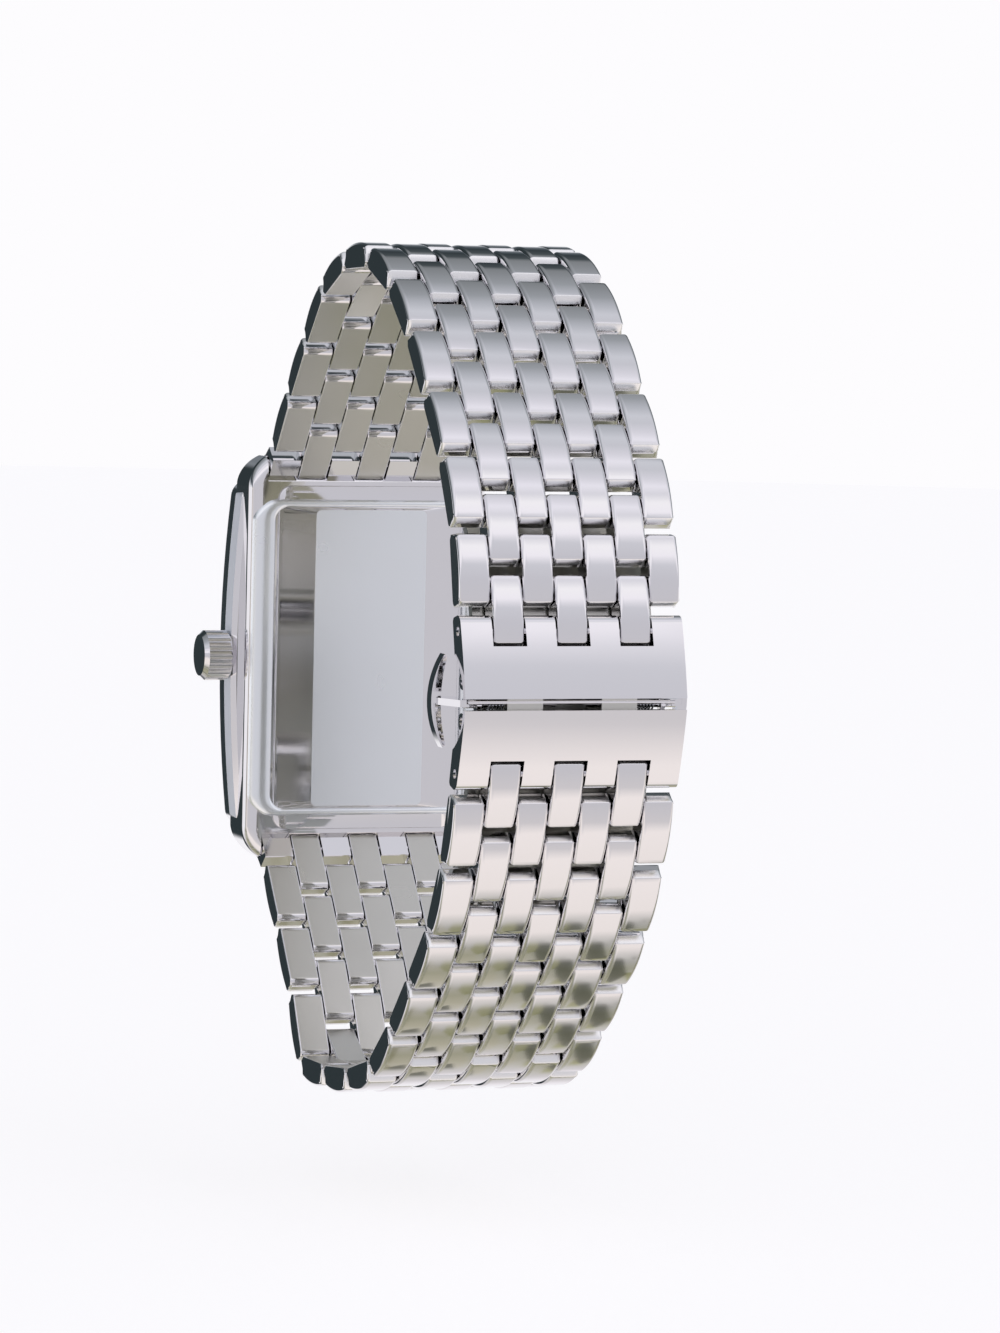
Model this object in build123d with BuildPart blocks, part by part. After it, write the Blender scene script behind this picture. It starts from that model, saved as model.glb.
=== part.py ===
"""Rectangular steel wristwatch on a seven-column link bracelet with a butterfly clasp.

Millimetres. The origin is the centre of the case back's flat outer face. +X is 3 o'clock, where the crown is,
+Z is 12 o'clock, and the dial faces -Y, so the bracelet's loop runs round the wrist space on the +Y side.
Side 1 is the bracelet half at 12 o'clock and side -1 is the half at 6 o'clock.
"""
import os
from math import asin, copysign, cos, degrees, pi, radians, sin, sqrt, tan

from build123d import *

os.makedirs("parts", exist_ok=True)

# Bracelet
BRACELET_WIDTH = 20.0
COLUMNS = 7
COLUMN_GAP = 0.08
ROW_PITCH = 3.535
ROW_OVERHANG = 1.37
CROWN_HEIGHT = 1.2
SHOULDER_HEIGHT = 0.74
END_ROUND = 0.85
INNER_DEPTH = 1.15
INNER_CORNER = 0.4
SIDE_BEVEL = 0.22
PIN_RADIUS = 0.4
PIN_CLEARANCE = 0.02
PIN_RECESS = 0.25
ROWS_OF_FOUR = 11

# The loop, as angles of the four-link rows from the clasp to the case: 0 runs straight at the seam, 90 runs away
# from the case. One list for each half, because the photographed loop isn't symmetric.
HEADINGS = {
    1: [12.8, 31, 43.5, 44.5, 53.5, 71, 93, 112.5, 133.5, 136.5, 139.5],
    -1: [18.7, 31, 46, 48, 53.5, 75.5, 84, 88, 149, 139.5, 138.5],
}
COVER_TILT = 15
END_LINK_TILT = 141
LOOP_DEPTH_SHARE = 0.704
SEAM_LIFT = 0.65

# Case
CASE_WIDTH = 23.4
CASE_HEIGHT = 38.8
CASE_CORNER = 3.4
BOWED_WIDTH = 25.2
BOWED_HEIGHT = 32.8
BOW = 0.95
BOWED_CORNER = 1.6
CASE_BACK_Y = -0.55
BOWED_BACK_Y = -2.9
BEZEL_BACK_Y = -5.5
BEZEL_FRONT_Y = -7.7
BACK_SHOULDER = 1.3
BOWED_EDGE = 0.45
LUG_GAP = 0.06
BAY_HEIGHT = 33.2
LUG_PIN_Y = -1.2
LUG_PIN_Z = 18.27
CAVITY_WIDTH = 17.6
CAVITY_HEIGHT = 28.0
CAVITY_CORNER = 1.2
DIAL_SEAT_WIDTH = 18.8
DIAL_SEAT_HEIGHT = 29.2
DIAL_SEAT_Y = -5.05

LUG_BACK_ROUND = 1.6
LUG_TIP_Y = -2.9
LUG_BULGE = 0.35
BEZEL_ROUND = 0.7

# End links and spring bars
END_LINK_BULGE = 0.35
BAR_Y = -4.0
BAR_Z = 17.75
BAR_RADIUS = 0.6
BAR_TIP = 0.6
BAR_TIP_RADIUS = 0.4

# Case back
BACK_WIDTH = 18.6
BACK_HEIGHT = 32.6
BACK_CORNER = 1.4
BACK_RIM = 0.75
BACK_BORDER = 3.0
BACK_BORDER_FALL = 0.4
BACK_PLUG = 0.9
FIT_CLEARANCE = 0.05
GASKET = 0.4
GASKET_LIP = 0.3
PLUG_WALL = 0.7

# Bezel, crystal and dial
WINDOW_WIDTH = 17.4
WINDOW_HEIGHT = 27.4
WINDOW_CORNER = 0.9
CRYSTAL_SEAT = 0.9
CRYSTAL_THICKNESS = 1.3
CRYSTAL_RISE = 0.2
CRYSTAL_GASKET = 0.35
DIAL_THICKNESS = 0.4
MARKER_LENGTH = 2.2
MARKER_WIDTH = 0.6
MARKER_HEIGHT = 0.15
MARKER_INSET = 0.9

# Movement
HOLDER_BACK_Y = -1.9
MOVEMENT_WIDTH = 15.3
MOVEMENT_HEIGHT = 17.8
MAIN_PLATE_BACK_Y = -3.9
MAIN_PLATE_FLOOR = 0.25
BRIDGE_Y = -2.4
BRIDGE_THICKNESS = 0.45
BRIDGE_WIDTH = 9.8
BRIDGE_HEIGHT = 7.0
BRIDGE_X = -1.3
BRIDGE_Z = 1.9
POST_RADIUS = 0.55
POST_INSET = 0.75
CIRCUIT_THICKNESS = 0.3
CIRCUIT_Y = -3.0
CIRCUIT_WIDTH = 7.4
CIRCUIT_HEIGHT = 5.0
BATTERY_RADIUS = 3.4
BATTERY_THICKNESS = 2.1
BATTERY_BACK_Y = -1.7
BATTERY_X = 4.0
BATTERY_Z = -5.3
COIL_LENGTH = 8.0
COIL_RADIUS = 0.7
COIL_CORE_RADIUS = 0.3
COIL_Y = -3.0
COIL_Z = 7.2
CAP_STEP = 0.4
SCREW_RADIUS = 0.3
SCREW_HEAD_RADIUS = 0.5
SCREW_HEAD = 0.3
WHEEL_THICKNESS = 0.15
CENTRE_WHEEL_Y = -3.65
THIRD_WHEEL_Y = -3.35
SECONDS_WHEEL_Y = -3.05
MINUTE_WHEEL_Y = -4.2
HOUR_WHEEL_Y = -4.6
MOTION_MODULE = 0.125
SECONDS_MODULE = 0.1
WHEEL_ROOM = 0.35
RUNNING_CLEARANCE = 0.04
ARBOR_RADIUS = 0.12
PIPE_WALL = 0.18

# Hands
HOUR_HAND_Y = -5.65
HAND_STEP = 0.22
HAND_THICKNESS = 0.15
HOUR_HAND_LENGTH = 5.0
MINUTE_HAND_LENGTH = 7.3
SECOND_HAND_LENGTH = 7.3
SECOND_HAND_TAIL = 2.4
HAND_WIDTH = 0.9
SECOND_HAND_WIDTH = 0.22
HAND_HUB_RADIUS = 0.85

# Crown and stem
CROWN_RADIUS = 2.35
CROWN_LENGTH = 2.7
CROWN_Y = -4.2
CROWN_FLUTES = 18
CROWN_GAP = 0.15
CROWN_BEVEL = 0.4
CROWN_FACE = 0.6
FLUTE_RADIUS = 0.35
FLUTE_DEPTH = 0.14
TUBE_RADIUS = 0.95
TUBE_REACH = 1.3
STEM_RADIUS = 0.45
STEM_START = 4.0
STEM_NECK = 0.7

# Clasp
SEAM_GAP = 1.0
CLASP_PIN_ALONG = 6.05
CLASP_PIN_DEPTH = 2.4
COVER_TOP = 0.9
COVER_SIDE = 0.9
COVER_DEPTH = 2.3
CLASP_SHOULDER = 0.8
NOTCH_RADIUS = 1.75
COVER_BULGE = 0.14
EAR_WIDTH = 0.85
BLADE_RADIUS = 24.0
BLADE_DEPTH = 3.6
BLADE_THICKNESS = 0.9
BLADE_WIDTH = 16.2
TIP_ALONG = 1.75
HINGE_ALONG = 16.5
KNUCKLE_RADIUS = 0.75
CLASP_CLEARANCE = 0.12
PLATE_THICKNESS = 0.9
TONGUE_WIDTH = 9.0
CHEEK_WIDTH = 3.2
CHEEK_SPACING = 5.3
CHEEK_LENGTH = 1.5
CHEEK_WALL = 0.35
BLADE_SHOULDER = 12.6
PLATE_WIDTH = 14.0
PLATE_NOTCH = 3.8
PUSHER_STEM_RADIUS = 0.42
PUSHER_DEPTH = 1.9
PUSHER_TRAVEL = 0.5
COLLAR_X = 8.1
COLLAR_WIDTH = 0.4
COLLAR_RADIUS = 0.65
SPRING_WIRE = 0.16
SPRING_RADIUS = 0.56
SPRING_TURNS = 5
ARCH_RADIUS = 4.4
ARCH_TOP = 0.5
THUMB_HEIGHT = 8.0
THUMB_WIDTH = 1.2
THUMB_DEPTH = 4.3
THUMB_THICKNESS = 0.85
THUMB_END = 0.25
THUMB_BULGE = 1.1
THUMB_REACH = 0.5
WEB_THICKNESS = 0.6
WEB_START = 9.55

# Counts and shares
HOUR_MARKS = 12
CANNON_TEETH = 12
MINUTE_TEETH = 36
MINUTE_PINION_TEETH = 10
HOUR_TEETH = 40
PINION_TEETH = 8
THIRD_TEETH = 60
CENTRE_TEETH = 64
TOOTH_TIP_SHARE = 0.35
TOOTH_ROOT_SHARE = 0.85
TOOTH_ADDENDUM_SHARE = 0.8
TOOTH_DEDENDUM_SHARE = 1.2
THIRD_WHEEL_ANGLE = 135
MINUTE_WHEEL_ANGLE = 225
SHOWN_HOURS = 10
SHOWN_MINUTES = 9
SHOWN_SECONDS = 35

# Worked out from the sizes above
COLUMN_PITCH = BRACELET_WIDTH / COLUMNS
COLUMN_WIDTH = COLUMN_PITCH - COLUMN_GAP
FOUR = [column for column in range(COLUMNS) if column % 2 == 0]
THREE = [column for column in range(COLUMNS) if column % 2 == 1]
HALF_LINK = ROW_PITCH / 2 + ROW_OVERHANG
ROWS = 2 * ROWS_OF_FOUR + 1
CLASP_PIN_Y = LUG_PIN_Y + LOOP_DEPTH_SHARE * ROWS * ROW_PITCH
SEAM_Y = CLASP_PIN_Y + CLASP_PIN_DEPTH
BLADE_CENTRE_Y = SEAM_Y - BLADE_DEPTH - BLADE_RADIUS
PLATE_RADIUS = BLADE_RADIUS - KNUCKLE_RADIUS - PLATE_THICKNESS / 2 - CLASP_CLEARANCE


def column_x(column):
    """Middle of a bracelet column, counted from -X."""
    return (column - (COLUMNS - 1) / 2) * COLUMN_PITCH


def save(piece, name):
    """Label one finished piece and write it."""
    piece.label = name
    export_step(piece, f"parts/{name}.step")


def row_angles(side, lean, sway):
    """Angle of every row from the case to the clasp, eased by two small corrections that leave the ends alone."""
    fours = [COVER_TILT, *HEADINGS[side], END_LINK_TILT]
    angles = []
    for upper in range(ROWS_OF_FOUR, 0, -1):
        angles += [(fours[upper] + fours[upper + 1]) / 2, fours[upper]]
    angles.append((fours[0] + fours[1]) / 2)
    places = [(index + 1 / 2) / len(angles) for index in range(len(angles))]
    return [
        angle + lean * sin(pi * place) + sway * sin(2 * pi * place)
        for angle, place in zip(angles, places)
    ]


def walk(side, lean, sway):
    """Pin centres (y, z) from the case to the clasp, with each row's angle."""
    angles = row_angles(side, lean, sway)
    pins = [(LUG_PIN_Y, side * LUG_PIN_Z)]
    for angle in angles:
        y, z = pins[-1]
        pins.append((y + ROW_PITCH * sin(radians(angle)), z - side * ROW_PITCH * cos(radians(angle))))
    return pins, angles


def close_loop(side):
    """Ease the angles until the last pin falls on the clasp cover's pin."""
    goal = (CLASP_PIN_Y, SEAM_LIFT + side * CLASP_PIN_ALONG)
    lean, sway, step = 0, 0, 1 / 100

    def miss(first, second):
        y, z = walk(side, first, second)[0][-1]
        return y - goal[0], z - goal[1]

    for _ in range(12):
        y, z = miss(lean, sway)
        lean_y, lean_z = [(far - near) / step for far, near in zip(miss(lean + step, sway), (y, z))]
        sway_y, sway_z = [(far - near) / step for far, near in zip(miss(lean, sway + step), (y, z))]
        spread = lean_y * sway_z - sway_y * lean_z
        lean -= (y * sway_z - sway_y * z) / spread
        sway -= (lean_y * z - y * lean_z) / spread
    return walk(side, lean, sway)


def link_outline():
    """Side outline of a link in the sketch plane: flat inside, crowned outside, rounded at both ends."""
    with BuildSketch() as outline:
        with BuildLine():
            ThreePointArc((-HALF_LINK, SHOULDER_HEIGHT), (0, CROWN_HEIGHT), (HALF_LINK, SHOULDER_HEIGHT))
            Polyline(
                (HALF_LINK, SHOULDER_HEIGHT),
                (HALF_LINK, -INNER_DEPTH),
                (-HALF_LINK, -INNER_DEPTH),
                (-HALF_LINK, SHOULDER_HEIGHT),
            )
        make_face()
        fillet(outline.vertices().group_by(Axis.Y)[-1], END_ROUND)
        fillet(outline.vertices().group_by(Axis.Y)[0], INNER_CORNER)
    return outline.sketch


def link_solid():
    """One bracelet link along Y with its outer face up (+Z) and two pin bores."""
    with BuildPart() as link:
        with BuildSketch(Plane.YZ):
            add(link_outline())
        extrude(amount=COLUMN_WIDTH / 2, both=True)
        sides = link.faces().filter_by(Axis.X)
        rims = [edge for face in sides for edge in face.edges() if edge.center().Z > PIN_RADIUS]
        chamfer(rims, SIDE_BEVEL)
        with BuildSketch(Plane.YZ.offset(-COLUMN_WIDTH)):
            with Locations((-ROW_PITCH / 2, 0), (ROW_PITCH / 2, 0)):
                Circle(PIN_RADIUS + PIN_CLEARANCE)
        extrude(amount=2 * COLUMN_WIDTH, mode=Mode.SUBTRACT)
    return link.part


def row_plane(side, start, end):
    """Plane at the middle of a row: local Y along the row, local Z out of the loop."""
    along_y, along_z = end[0] - start[0], end[1] - start[1]
    middle = ((start[0] + end[0]) / 2, (start[1] + end[1]) / 2)
    return Plane(origin=(0, *middle), x_dir=(1, 0, 0), z_dir=(0, -side * along_z, side * along_y))


def pin_at(point, half_length):
    """A round pin along X at a point (y, z)."""
    with BuildPart() as pin:
        with BuildSketch(Plane.YZ):
            with Locations(point):
                Circle(PIN_RADIUS)
        extrude(amount=half_length, both=True)
    return pin.part


def bracelet_row(side, number, pins, link):
    """A three-link row with the four-link row nearer the clasp, and the two pins that the four-link row holds."""
    first = 2 * (ROWS_OF_FOUR - number)
    three_plane = row_plane(side, pins[first], pins[first + 1])
    with BuildPart() as row:
        for column in THREE:
            add((three_plane * Pos(column_x(column), 0, 0)) * link, clean=False)
        if number > 0:
            four_plane = row_plane(side, pins[first + 1], pins[first + 2])
            for column in FOUR:
                add((four_plane * Pos(column_x(column), 0, 0)) * link, clean=False)
            for pin in (pins[first + 1], pins[first + 2]):
                add(pin_at(pin, BRACELET_WIDTH / 2 - PIN_RECESS), clean=False)
    return row.part


# Bracelet rows, numbered from the clasp
link = link_solid()
loops = {side: close_loop(side) for side in (1, -1)}
names = {1: "12", -1: "6"}
for side in (1, -1):
    for number in range(ROWS_OF_FOUR + 1):
        piece = bracelet_row(side, number, loops[side][0], link)
        save(piece, f"bracelet_{names[side]}_row_{number + 1:02d}")


def face_plane(y):
    """Plane across the case at a depth: local X towards 3 o'clock, local Y towards 12, facing the dial side."""
    return Plane(origin=(0, y, 0), x_dir=(1, 0, 0), z_dir=(0, -1, 0))


def prism(outline, low, high, mode=Mode.ADD):
    """Extrude a side outline drawn in (y, z) from one x to another inside the open part."""
    with BuildSketch(Plane.YZ.offset(low)) as section:
        add(outline)
    extrude(section.sketch, amount=high - low, mode=mode)


def disc(point, radius):
    """Round side outline at a point (y, z)."""
    with BuildSketch() as outline:
        with Locations(point):
            Circle(radius)
    return outline.sketch


def polygon(points):
    """Straight-sided side outline."""
    with BuildSketch() as outline:
        with BuildLine():
            Polyline(*points, close=True)
        make_face()
    return outline.sketch


def mirrored(side, points):
    """Points (y, z) drawn for the 12 o'clock half, turned over for the other half."""
    return [(y, side * z) for y, z in points]


def clasp_point(side, out, along):
    """Point (y, z) measured from the middle of the seam's outer edge: out of the loop, and along the cover."""
    return (SEAM_Y + out, SEAM_LIFT + side * along)


def swing_room(side, pin, tilt, towards):
    """Side outlines of the room that a three-link row needs round the pin it turns on."""
    along = (sin(tilt), -cos(tilt))
    out = (cos(tilt), sin(tilt))
    corners = [(0, -1), (0, 1), (2 * towards, 1), (2 * towards, -1)]
    points = [
        (
            pin[0] + NOTCH_RADIUS * (ahead * along[0] + up * out[0]),
            pin[1] + side * NOTCH_RADIUS * (ahead * along[1] + up * out[1]),
        )
        for ahead, up in corners
    ]
    return [disc(pin, NOTCH_RADIUS), polygon(points)]


def cut_columns(outlines, columns, margin):
    """Cut side outlines through whole bracelet columns of the open part."""
    for column in columns:
        low = column_x(column) - COLUMN_PITCH / 2 - margin
        high = column_x(column) + COLUMN_PITCH / 2 + margin
        for outline in outlines:
            prism(outline, low, high, Mode.SUBTRACT)


def end_link(side):
    """Solid link between the lugs with a bore for its spring bar and four teeth that hold the first pin."""
    tilt = radians(END_LINK_TILT)

    def from_pin(along, out):
        return (
            LUG_PIN_Y + along * sin(tilt) + out * cos(tilt),
            LUG_PIN_Z - along * cos(tilt) + out * sin(tilt),
        )

    case_end = BAY_HEIGHT / 2 + FIT_CLEARANCE
    inner = from_pin(0, -INNER_DEPTH)
    inner_end = (inner[0] + (inner[1] - case_end) * tan(tilt), case_end)
    front = (BEZEL_BACK_Y + FIT_CLEARANCE, case_end)
    crest = from_pin(0, CROWN_HEIGHT)
    bulge = ((front[0] + crest[0]) / 2 - END_LINK_BULGE, (front[1] + crest[1]) / 2 + END_LINK_BULGE)
    tips = [from_pin(ROW_OVERHANG, SHOULDER_HEIGHT), from_pin(ROW_OVERHANG, -INNER_DEPTH)]
    with BuildSketch() as outline:
        with BuildLine():
            ThreePointArc(*mirrored(side, [front, bulge, crest]))
            Polyline(*mirrored(side, [crest, *tips, inner_end, front]))
        make_face()
    half = BRACELET_WIDTH / 2 - FIT_CLEARANCE
    first_pin = (LUG_PIN_Y, side * LUG_PIN_Z)
    with BuildPart() as piece:
        prism(outline.sketch, -half, half)
        cut_columns(swing_room(side, first_pin, tilt, 1), THREE, COLUMN_GAP)
        prism(disc(first_pin, PIN_RADIUS + PIN_CLEARANCE), -half, half, Mode.SUBTRACT)
        prism(disc((BAR_Y, side * BAR_Z), BAR_RADIUS + PIN_CLEARANCE), -half, half, Mode.SUBTRACT)
        add(pin_at(first_pin, BRACELET_WIDTH / 2 - PIN_RECESS), clean=False)
    return piece.part


def spring_bar(side):
    """Spring bar in its end link, with a thin tip in each lug."""
    centre = (BAR_Y, side * BAR_Z)
    barrel = BRACELET_WIDTH / 2 - 2 * FIT_CLEARANCE
    tip = BRACELET_WIDTH / 2 + LUG_GAP + BAR_TIP
    with BuildPart() as bar:
        prism(disc(centre, BAR_RADIUS), -barrel, barrel)
        prism(disc(centre, BAR_TIP_RADIUS), -tip, tip)
    return bar.part


def clasp_cover(side):
    """Half of the clasp's outer cover: a shell with four teeth, side walls, two hinge ears and its two pins."""
    tilt = radians(COVER_TILT)
    seam = SEAM_GAP / 2
    half = BRACELET_WIDTH / 2

    def from_pin(along, out):
        """Along the cover towards the bracelet, and out of it."""
        return clasp_point(
            side,
            out * cos(tilt) - CLASP_PIN_DEPTH - along * sin(tilt),
            CLASP_PIN_ALONG + along * cos(tilt) + out * sin(tilt),
        )

    def down(depth, along):
        """A depth under the cover's straight top line at a distance from the seam."""
        return clasp_point(side, -depth - (along - seam) * tan(tilt), along)

    top = clasp_point(side, 0, seam)
    shoulder = from_pin(ROW_OVERHANG, CLASP_SHOULDER)
    bulge = (
        (top[0] + shoulder[0]) / 2 + COVER_BULGE * cos(tilt),
        (top[1] + shoulder[1]) / 2 + side * COVER_BULGE * sin(tilt),
    )
    heel = from_pin(ROW_OVERHANG, -INNER_DEPTH)
    toe = down(COVER_DEPTH, seam)
    pin = clasp_point(side, -CLASP_PIN_DEPTH, CLASP_PIN_ALONG)
    tip = clasp_point(side, *TIP_PLACE)
    pocket_end = CLASP_PIN_ALONG - NOTCH_RADIUS - COVER_TOP
    pocket = polygon(
        [
            down(COVER_TOP, -seam),
            down(COVER_TOP, pocket_end),
            down(2 * COVER_DEPTH, pocket_end),
            down(2 * COVER_DEPTH, -seam),
        ]
    )
    ear = polygon(
        [
            clasp_point(side, TIP_PLACE[0], TIP_PLACE[1] - KNUCKLE_RADIUS),
            clasp_point(side, TIP_PLACE[0], TIP_PLACE[1] + KNUCKLE_RADIUS),
            clasp_point(side, -COVER_TOP, TIP_PLACE[1] + KNUCKLE_RADIUS),
            clasp_point(side, -COVER_TOP, TIP_PLACE[1] - KNUCKLE_RADIUS),
        ]
    )
    with BuildSketch() as outline:
        with BuildLine():
            ThreePointArc(top, bulge, shoulder)
            Polyline(shoulder, heel, toe, top)
        make_face()
        rounded = outline.vertices().sort_by_distance((*shoulder, 0))[0]
        fillet(rounded, END_ROUND)
        rounded = outline.vertices().sort_by_distance((*heel, 0))[0]
        fillet(rounded, INNER_CORNER)
    with BuildPart() as shell:
        prism(outline.sketch, -half, half)
        inside = half - COVER_SIDE
        prism(pocket, -inside, inside, Mode.SUBTRACT)
        cut_columns(swing_room(side, pin, -tilt, -1), THREE, COLUMN_GAP)
        arch = disc(clasp_point(side, -ARCH_TOP - ARCH_RADIUS, 0), ARCH_RADIUS)
        for low in (-half, inside):
            prism(arch, low, low + COVER_SIDE, Mode.SUBTRACT)
        for low, high in ((-inside, EAR_WIDTH - inside), (inside - EAR_WIDTH, inside)):
            prism(ear, low, high)
            prism(disc(tip, KNUCKLE_RADIUS), low, high)
        for place in (pin, tip):
            prism(disc(place, PIN_RADIUS + PIN_CLEARANCE), -half, half, Mode.SUBTRACT)
        add(pin_at(pin, half - PIN_RECESS), clean=False)
        add(pin_at(tip, inside - PIN_RECESS), clean=False)
    return shell.part


def arc_band(radius, thickness, start, end):
    """Side outline of a curved plate round the clasp's centre of curvature, between two angles in degrees."""

    def at(reach, angle):
        return (
            BLADE_CENTRE_Y + reach * cos(radians(angle)),
            SEAM_LIFT + reach * sin(radians(angle)),
        )

    outer, inner = radius + thickness / 2, radius - thickness / 2
    middle = (start + end) / 2
    with BuildSketch() as outline:
        with BuildLine():
            ThreePointArc(at(outer, start), at(outer, middle), at(outer, end))
            Line(at(outer, end), at(inner, end))
            ThreePointArc(at(inner, end), at(inner, middle), at(inner, start))
            Line(at(inner, start), at(outer, start))
        make_face()
    return outline.sketch


def angle_of(along):
    """Angle on the blades' arc at a distance along the clasp from the seam, in degrees."""
    return degrees(asin(along / BLADE_RADIUS))


def clasp_blade(side):
    """Folding blade: a knuckle under the cover, a curved plate and a narrow tongue with the end knuckle."""
    tip = clasp_point(side, *TIP_PLACE)
    end = clasp_point(side, *END_PLACE)
    start, shoulder, far = (side * angle_of(place) for place in (TIP_ALONG, BLADE_SHOULDER, HINGE_ALONG))
    half = BLADE_WIDTH / 2
    tongue = TONGUE_WIDTH / 2
    with BuildPart() as blade:
        prism(arc_band(BLADE_RADIUS, BLADE_THICKNESS, start, shoulder), -half, half)
        prism(arc_band(BLADE_RADIUS, BLADE_THICKNESS, shoulder, far), -tongue, tongue)
        prism(disc(tip, KNUCKLE_RADIUS), -half, half)
        prism(disc(end, KNUCKLE_RADIUS), -tongue, tongue)
        prism(disc(tip, PIN_RADIUS + RUNNING_CLEARANCE), -half, half, Mode.SUBTRACT)
        prism(disc(end, PIN_RADIUS + RUNNING_CLEARANCE), -tongue, tongue, Mode.SUBTRACT)
        if side < 0:
            add(pin_at(end, tongue), clean=False)
    return blade.part


def centre_plate():
    """Curved plate against the wrist with an ear pair at each end and the two lock cheeks in the middle."""
    half = PLATE_WIDTH / 2
    tongue = TONGUE_WIDTH / 2 + CLASP_CLEARANCE
    far = angle_of(HINGE_ALONG)
    cheek_top = -PUSHER_DEPTH + PUSHER_STEM_RADIUS + CHEEK_WALL
    cheek = polygon(
        [
            clasp_point(1, out, along)
            for out, along in (
                (cheek_top, -CHEEK_LENGTH / 2),
                (cheek_top, CHEEK_LENGTH / 2),
                (PLATE_TOP - PLATE_THICKNESS / 2, CHEEK_LENGTH / 2),
                (PLATE_TOP - PLATE_THICKNESS / 2, -CHEEK_LENGTH / 2),
            )
        ]
    )
    stem = clasp_point(1, -PUSHER_DEPTH, 0)
    with BuildPart() as plate:
        prism(arc_band(PLATE_RADIUS, PLATE_THICKNESS, -far, far), -half, half)
        for side in (1, -1):
            end = clasp_point(side, *END_PLACE)
            notch = arc_band(
                PLATE_RADIUS,
                2 * PLATE_THICKNESS,
                side * angle_of(HINGE_ALONG - PLATE_NOTCH),
                side * (far + degrees(KNUCKLE_RADIUS / BLADE_RADIUS)),
            )
            root = arc_band(
                (BLADE_RADIUS + PLATE_RADIUS) / 2,
                BLADE_RADIUS - PLATE_RADIUS,
                side * angle_of(HINGE_ALONG - KNUCKLE_RADIUS),
                side * far,
            )
            for low, high in ((-half, -tongue), (tongue, half)):
                prism(disc(end, KNUCKLE_RADIUS), low, high)
                prism(root, low, high)
            prism(notch, -tongue, tongue, Mode.SUBTRACT)
            prism(disc(end, PIN_RADIUS + PIN_CLEARANCE), -half, half, Mode.SUBTRACT)
        for low in (-CHEEK_SPACING / 2 - CHEEK_WIDTH, CHEEK_SPACING / 2):
            prism(cheek, low, low + CHEEK_WIDTH)
            prism(disc(stem, PUSHER_STEM_RADIUS + RUNNING_CLEARANCE), low, low + CHEEK_WIDTH, Mode.SUBTRACT)
        add(pin_at(clasp_point(1, *END_PLACE), half), clean=False)
        for low in (-half, tongue):
            stub = disc(clasp_point(-1, *END_PLACE), PIN_RADIUS)
            prism(stub, low, low + half - tongue)
    return plate.part


def clasp_pusher(hand):
    """Pusher at one edge of the clasp: a stem in its lock cheek, a web, and a bowed thumb bar under the covers."""
    stem = clasp_point(1, -PUSHER_DEPTH, 0)
    bar_y = SEAM_Y - THUMB_DEPTH
    ends = BRACELET_WIDTH / 2 + THUMB_REACH
    back = ends + THUMB_BULGE - THUMB_THICKNESS
    tip = ends - THUMB_END
    with BuildPart() as pusher:
        prism(disc(stem, PUSHER_STEM_RADIUS), *sorted((hand * CHEEK_SPACING / 4, hand * WEB_START)))
        collar = sorted((hand * COLLAR_X, hand * (COLLAR_X + COLLAR_WIDTH)))
        prism(disc(stem, COLLAR_RADIUS), *collar)
        web = polygon(
            [
                (hand * (WEB_START - PUSHER_STEM_RADIUS), stem[0] + PUSHER_STEM_RADIUS),
                (hand * (BRACELET_WIDTH / 2 - FIT_CLEARANCE), stem[0] + PUSHER_STEM_RADIUS),
                (hand * (back + THUMB_THICKNESS / 2), bar_y),
                (hand * (back + THUMB_THICKNESS / 2), bar_y - THUMB_WIDTH),
                (hand * (WEB_START - PUSHER_STEM_RADIUS), bar_y - THUMB_WIDTH),
            ]
        )
        with BuildSketch(Plane.XY.offset(SEAM_LIFT - WEB_THICKNESS / 2)) as gusset:
            add(web)
        extrude(gusset.sketch, amount=WEB_THICKNESS)
        with BuildSketch(face_plane(bar_y)) as bar:
            with BuildLine():
                half = THUMB_HEIGHT / 2
                ThreePointArc(
                    (hand * ends, SEAM_LIFT - half),
                    (hand * (ends + THUMB_BULGE), SEAM_LIFT),
                    (hand * ends, SEAM_LIFT + half),
                )
                Line((hand * ends, SEAM_LIFT + half), (hand * tip, SEAM_LIFT + half - THUMB_END))
                ThreePointArc(
                    (hand * tip, SEAM_LIFT + half - THUMB_END),
                    (hand * back, SEAM_LIFT),
                    (hand * tip, SEAM_LIFT + THUMB_END - half),
                )
                Line((hand * tip, SEAM_LIFT + THUMB_END - half), (hand * ends, SEAM_LIFT - half))
            make_face()
        extrude(bar.sketch, amount=THUMB_WIDTH)
    return pusher.part


def pusher_spring(hand):
    """Coil spring on a pusher's stem, between its lock cheek and the stem's collar."""
    stem = clasp_point(1, -PUSHER_DEPTH, 0)
    low = CHEEK_SPACING / 2 + CHEEK_WIDTH + SPRING_WIRE
    length = COLLAR_X - PUSHER_TRAVEL - SPRING_WIRE - low
    with BuildPart() as spring:
        with BuildLine() as coil:
            Helix(
                pitch=length / SPRING_TURNS,
                height=length,
                radius=SPRING_RADIUS,
                center=(hand * low, *stem),
                direction=(hand, 0, 0),
            )
        with BuildSketch(Plane(origin=coil.line @ 0, z_dir=coil.line % 0)):
            Circle(SPRING_WIRE / 2)
        sweep(is_frenet=True)
    return spring.part


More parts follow.
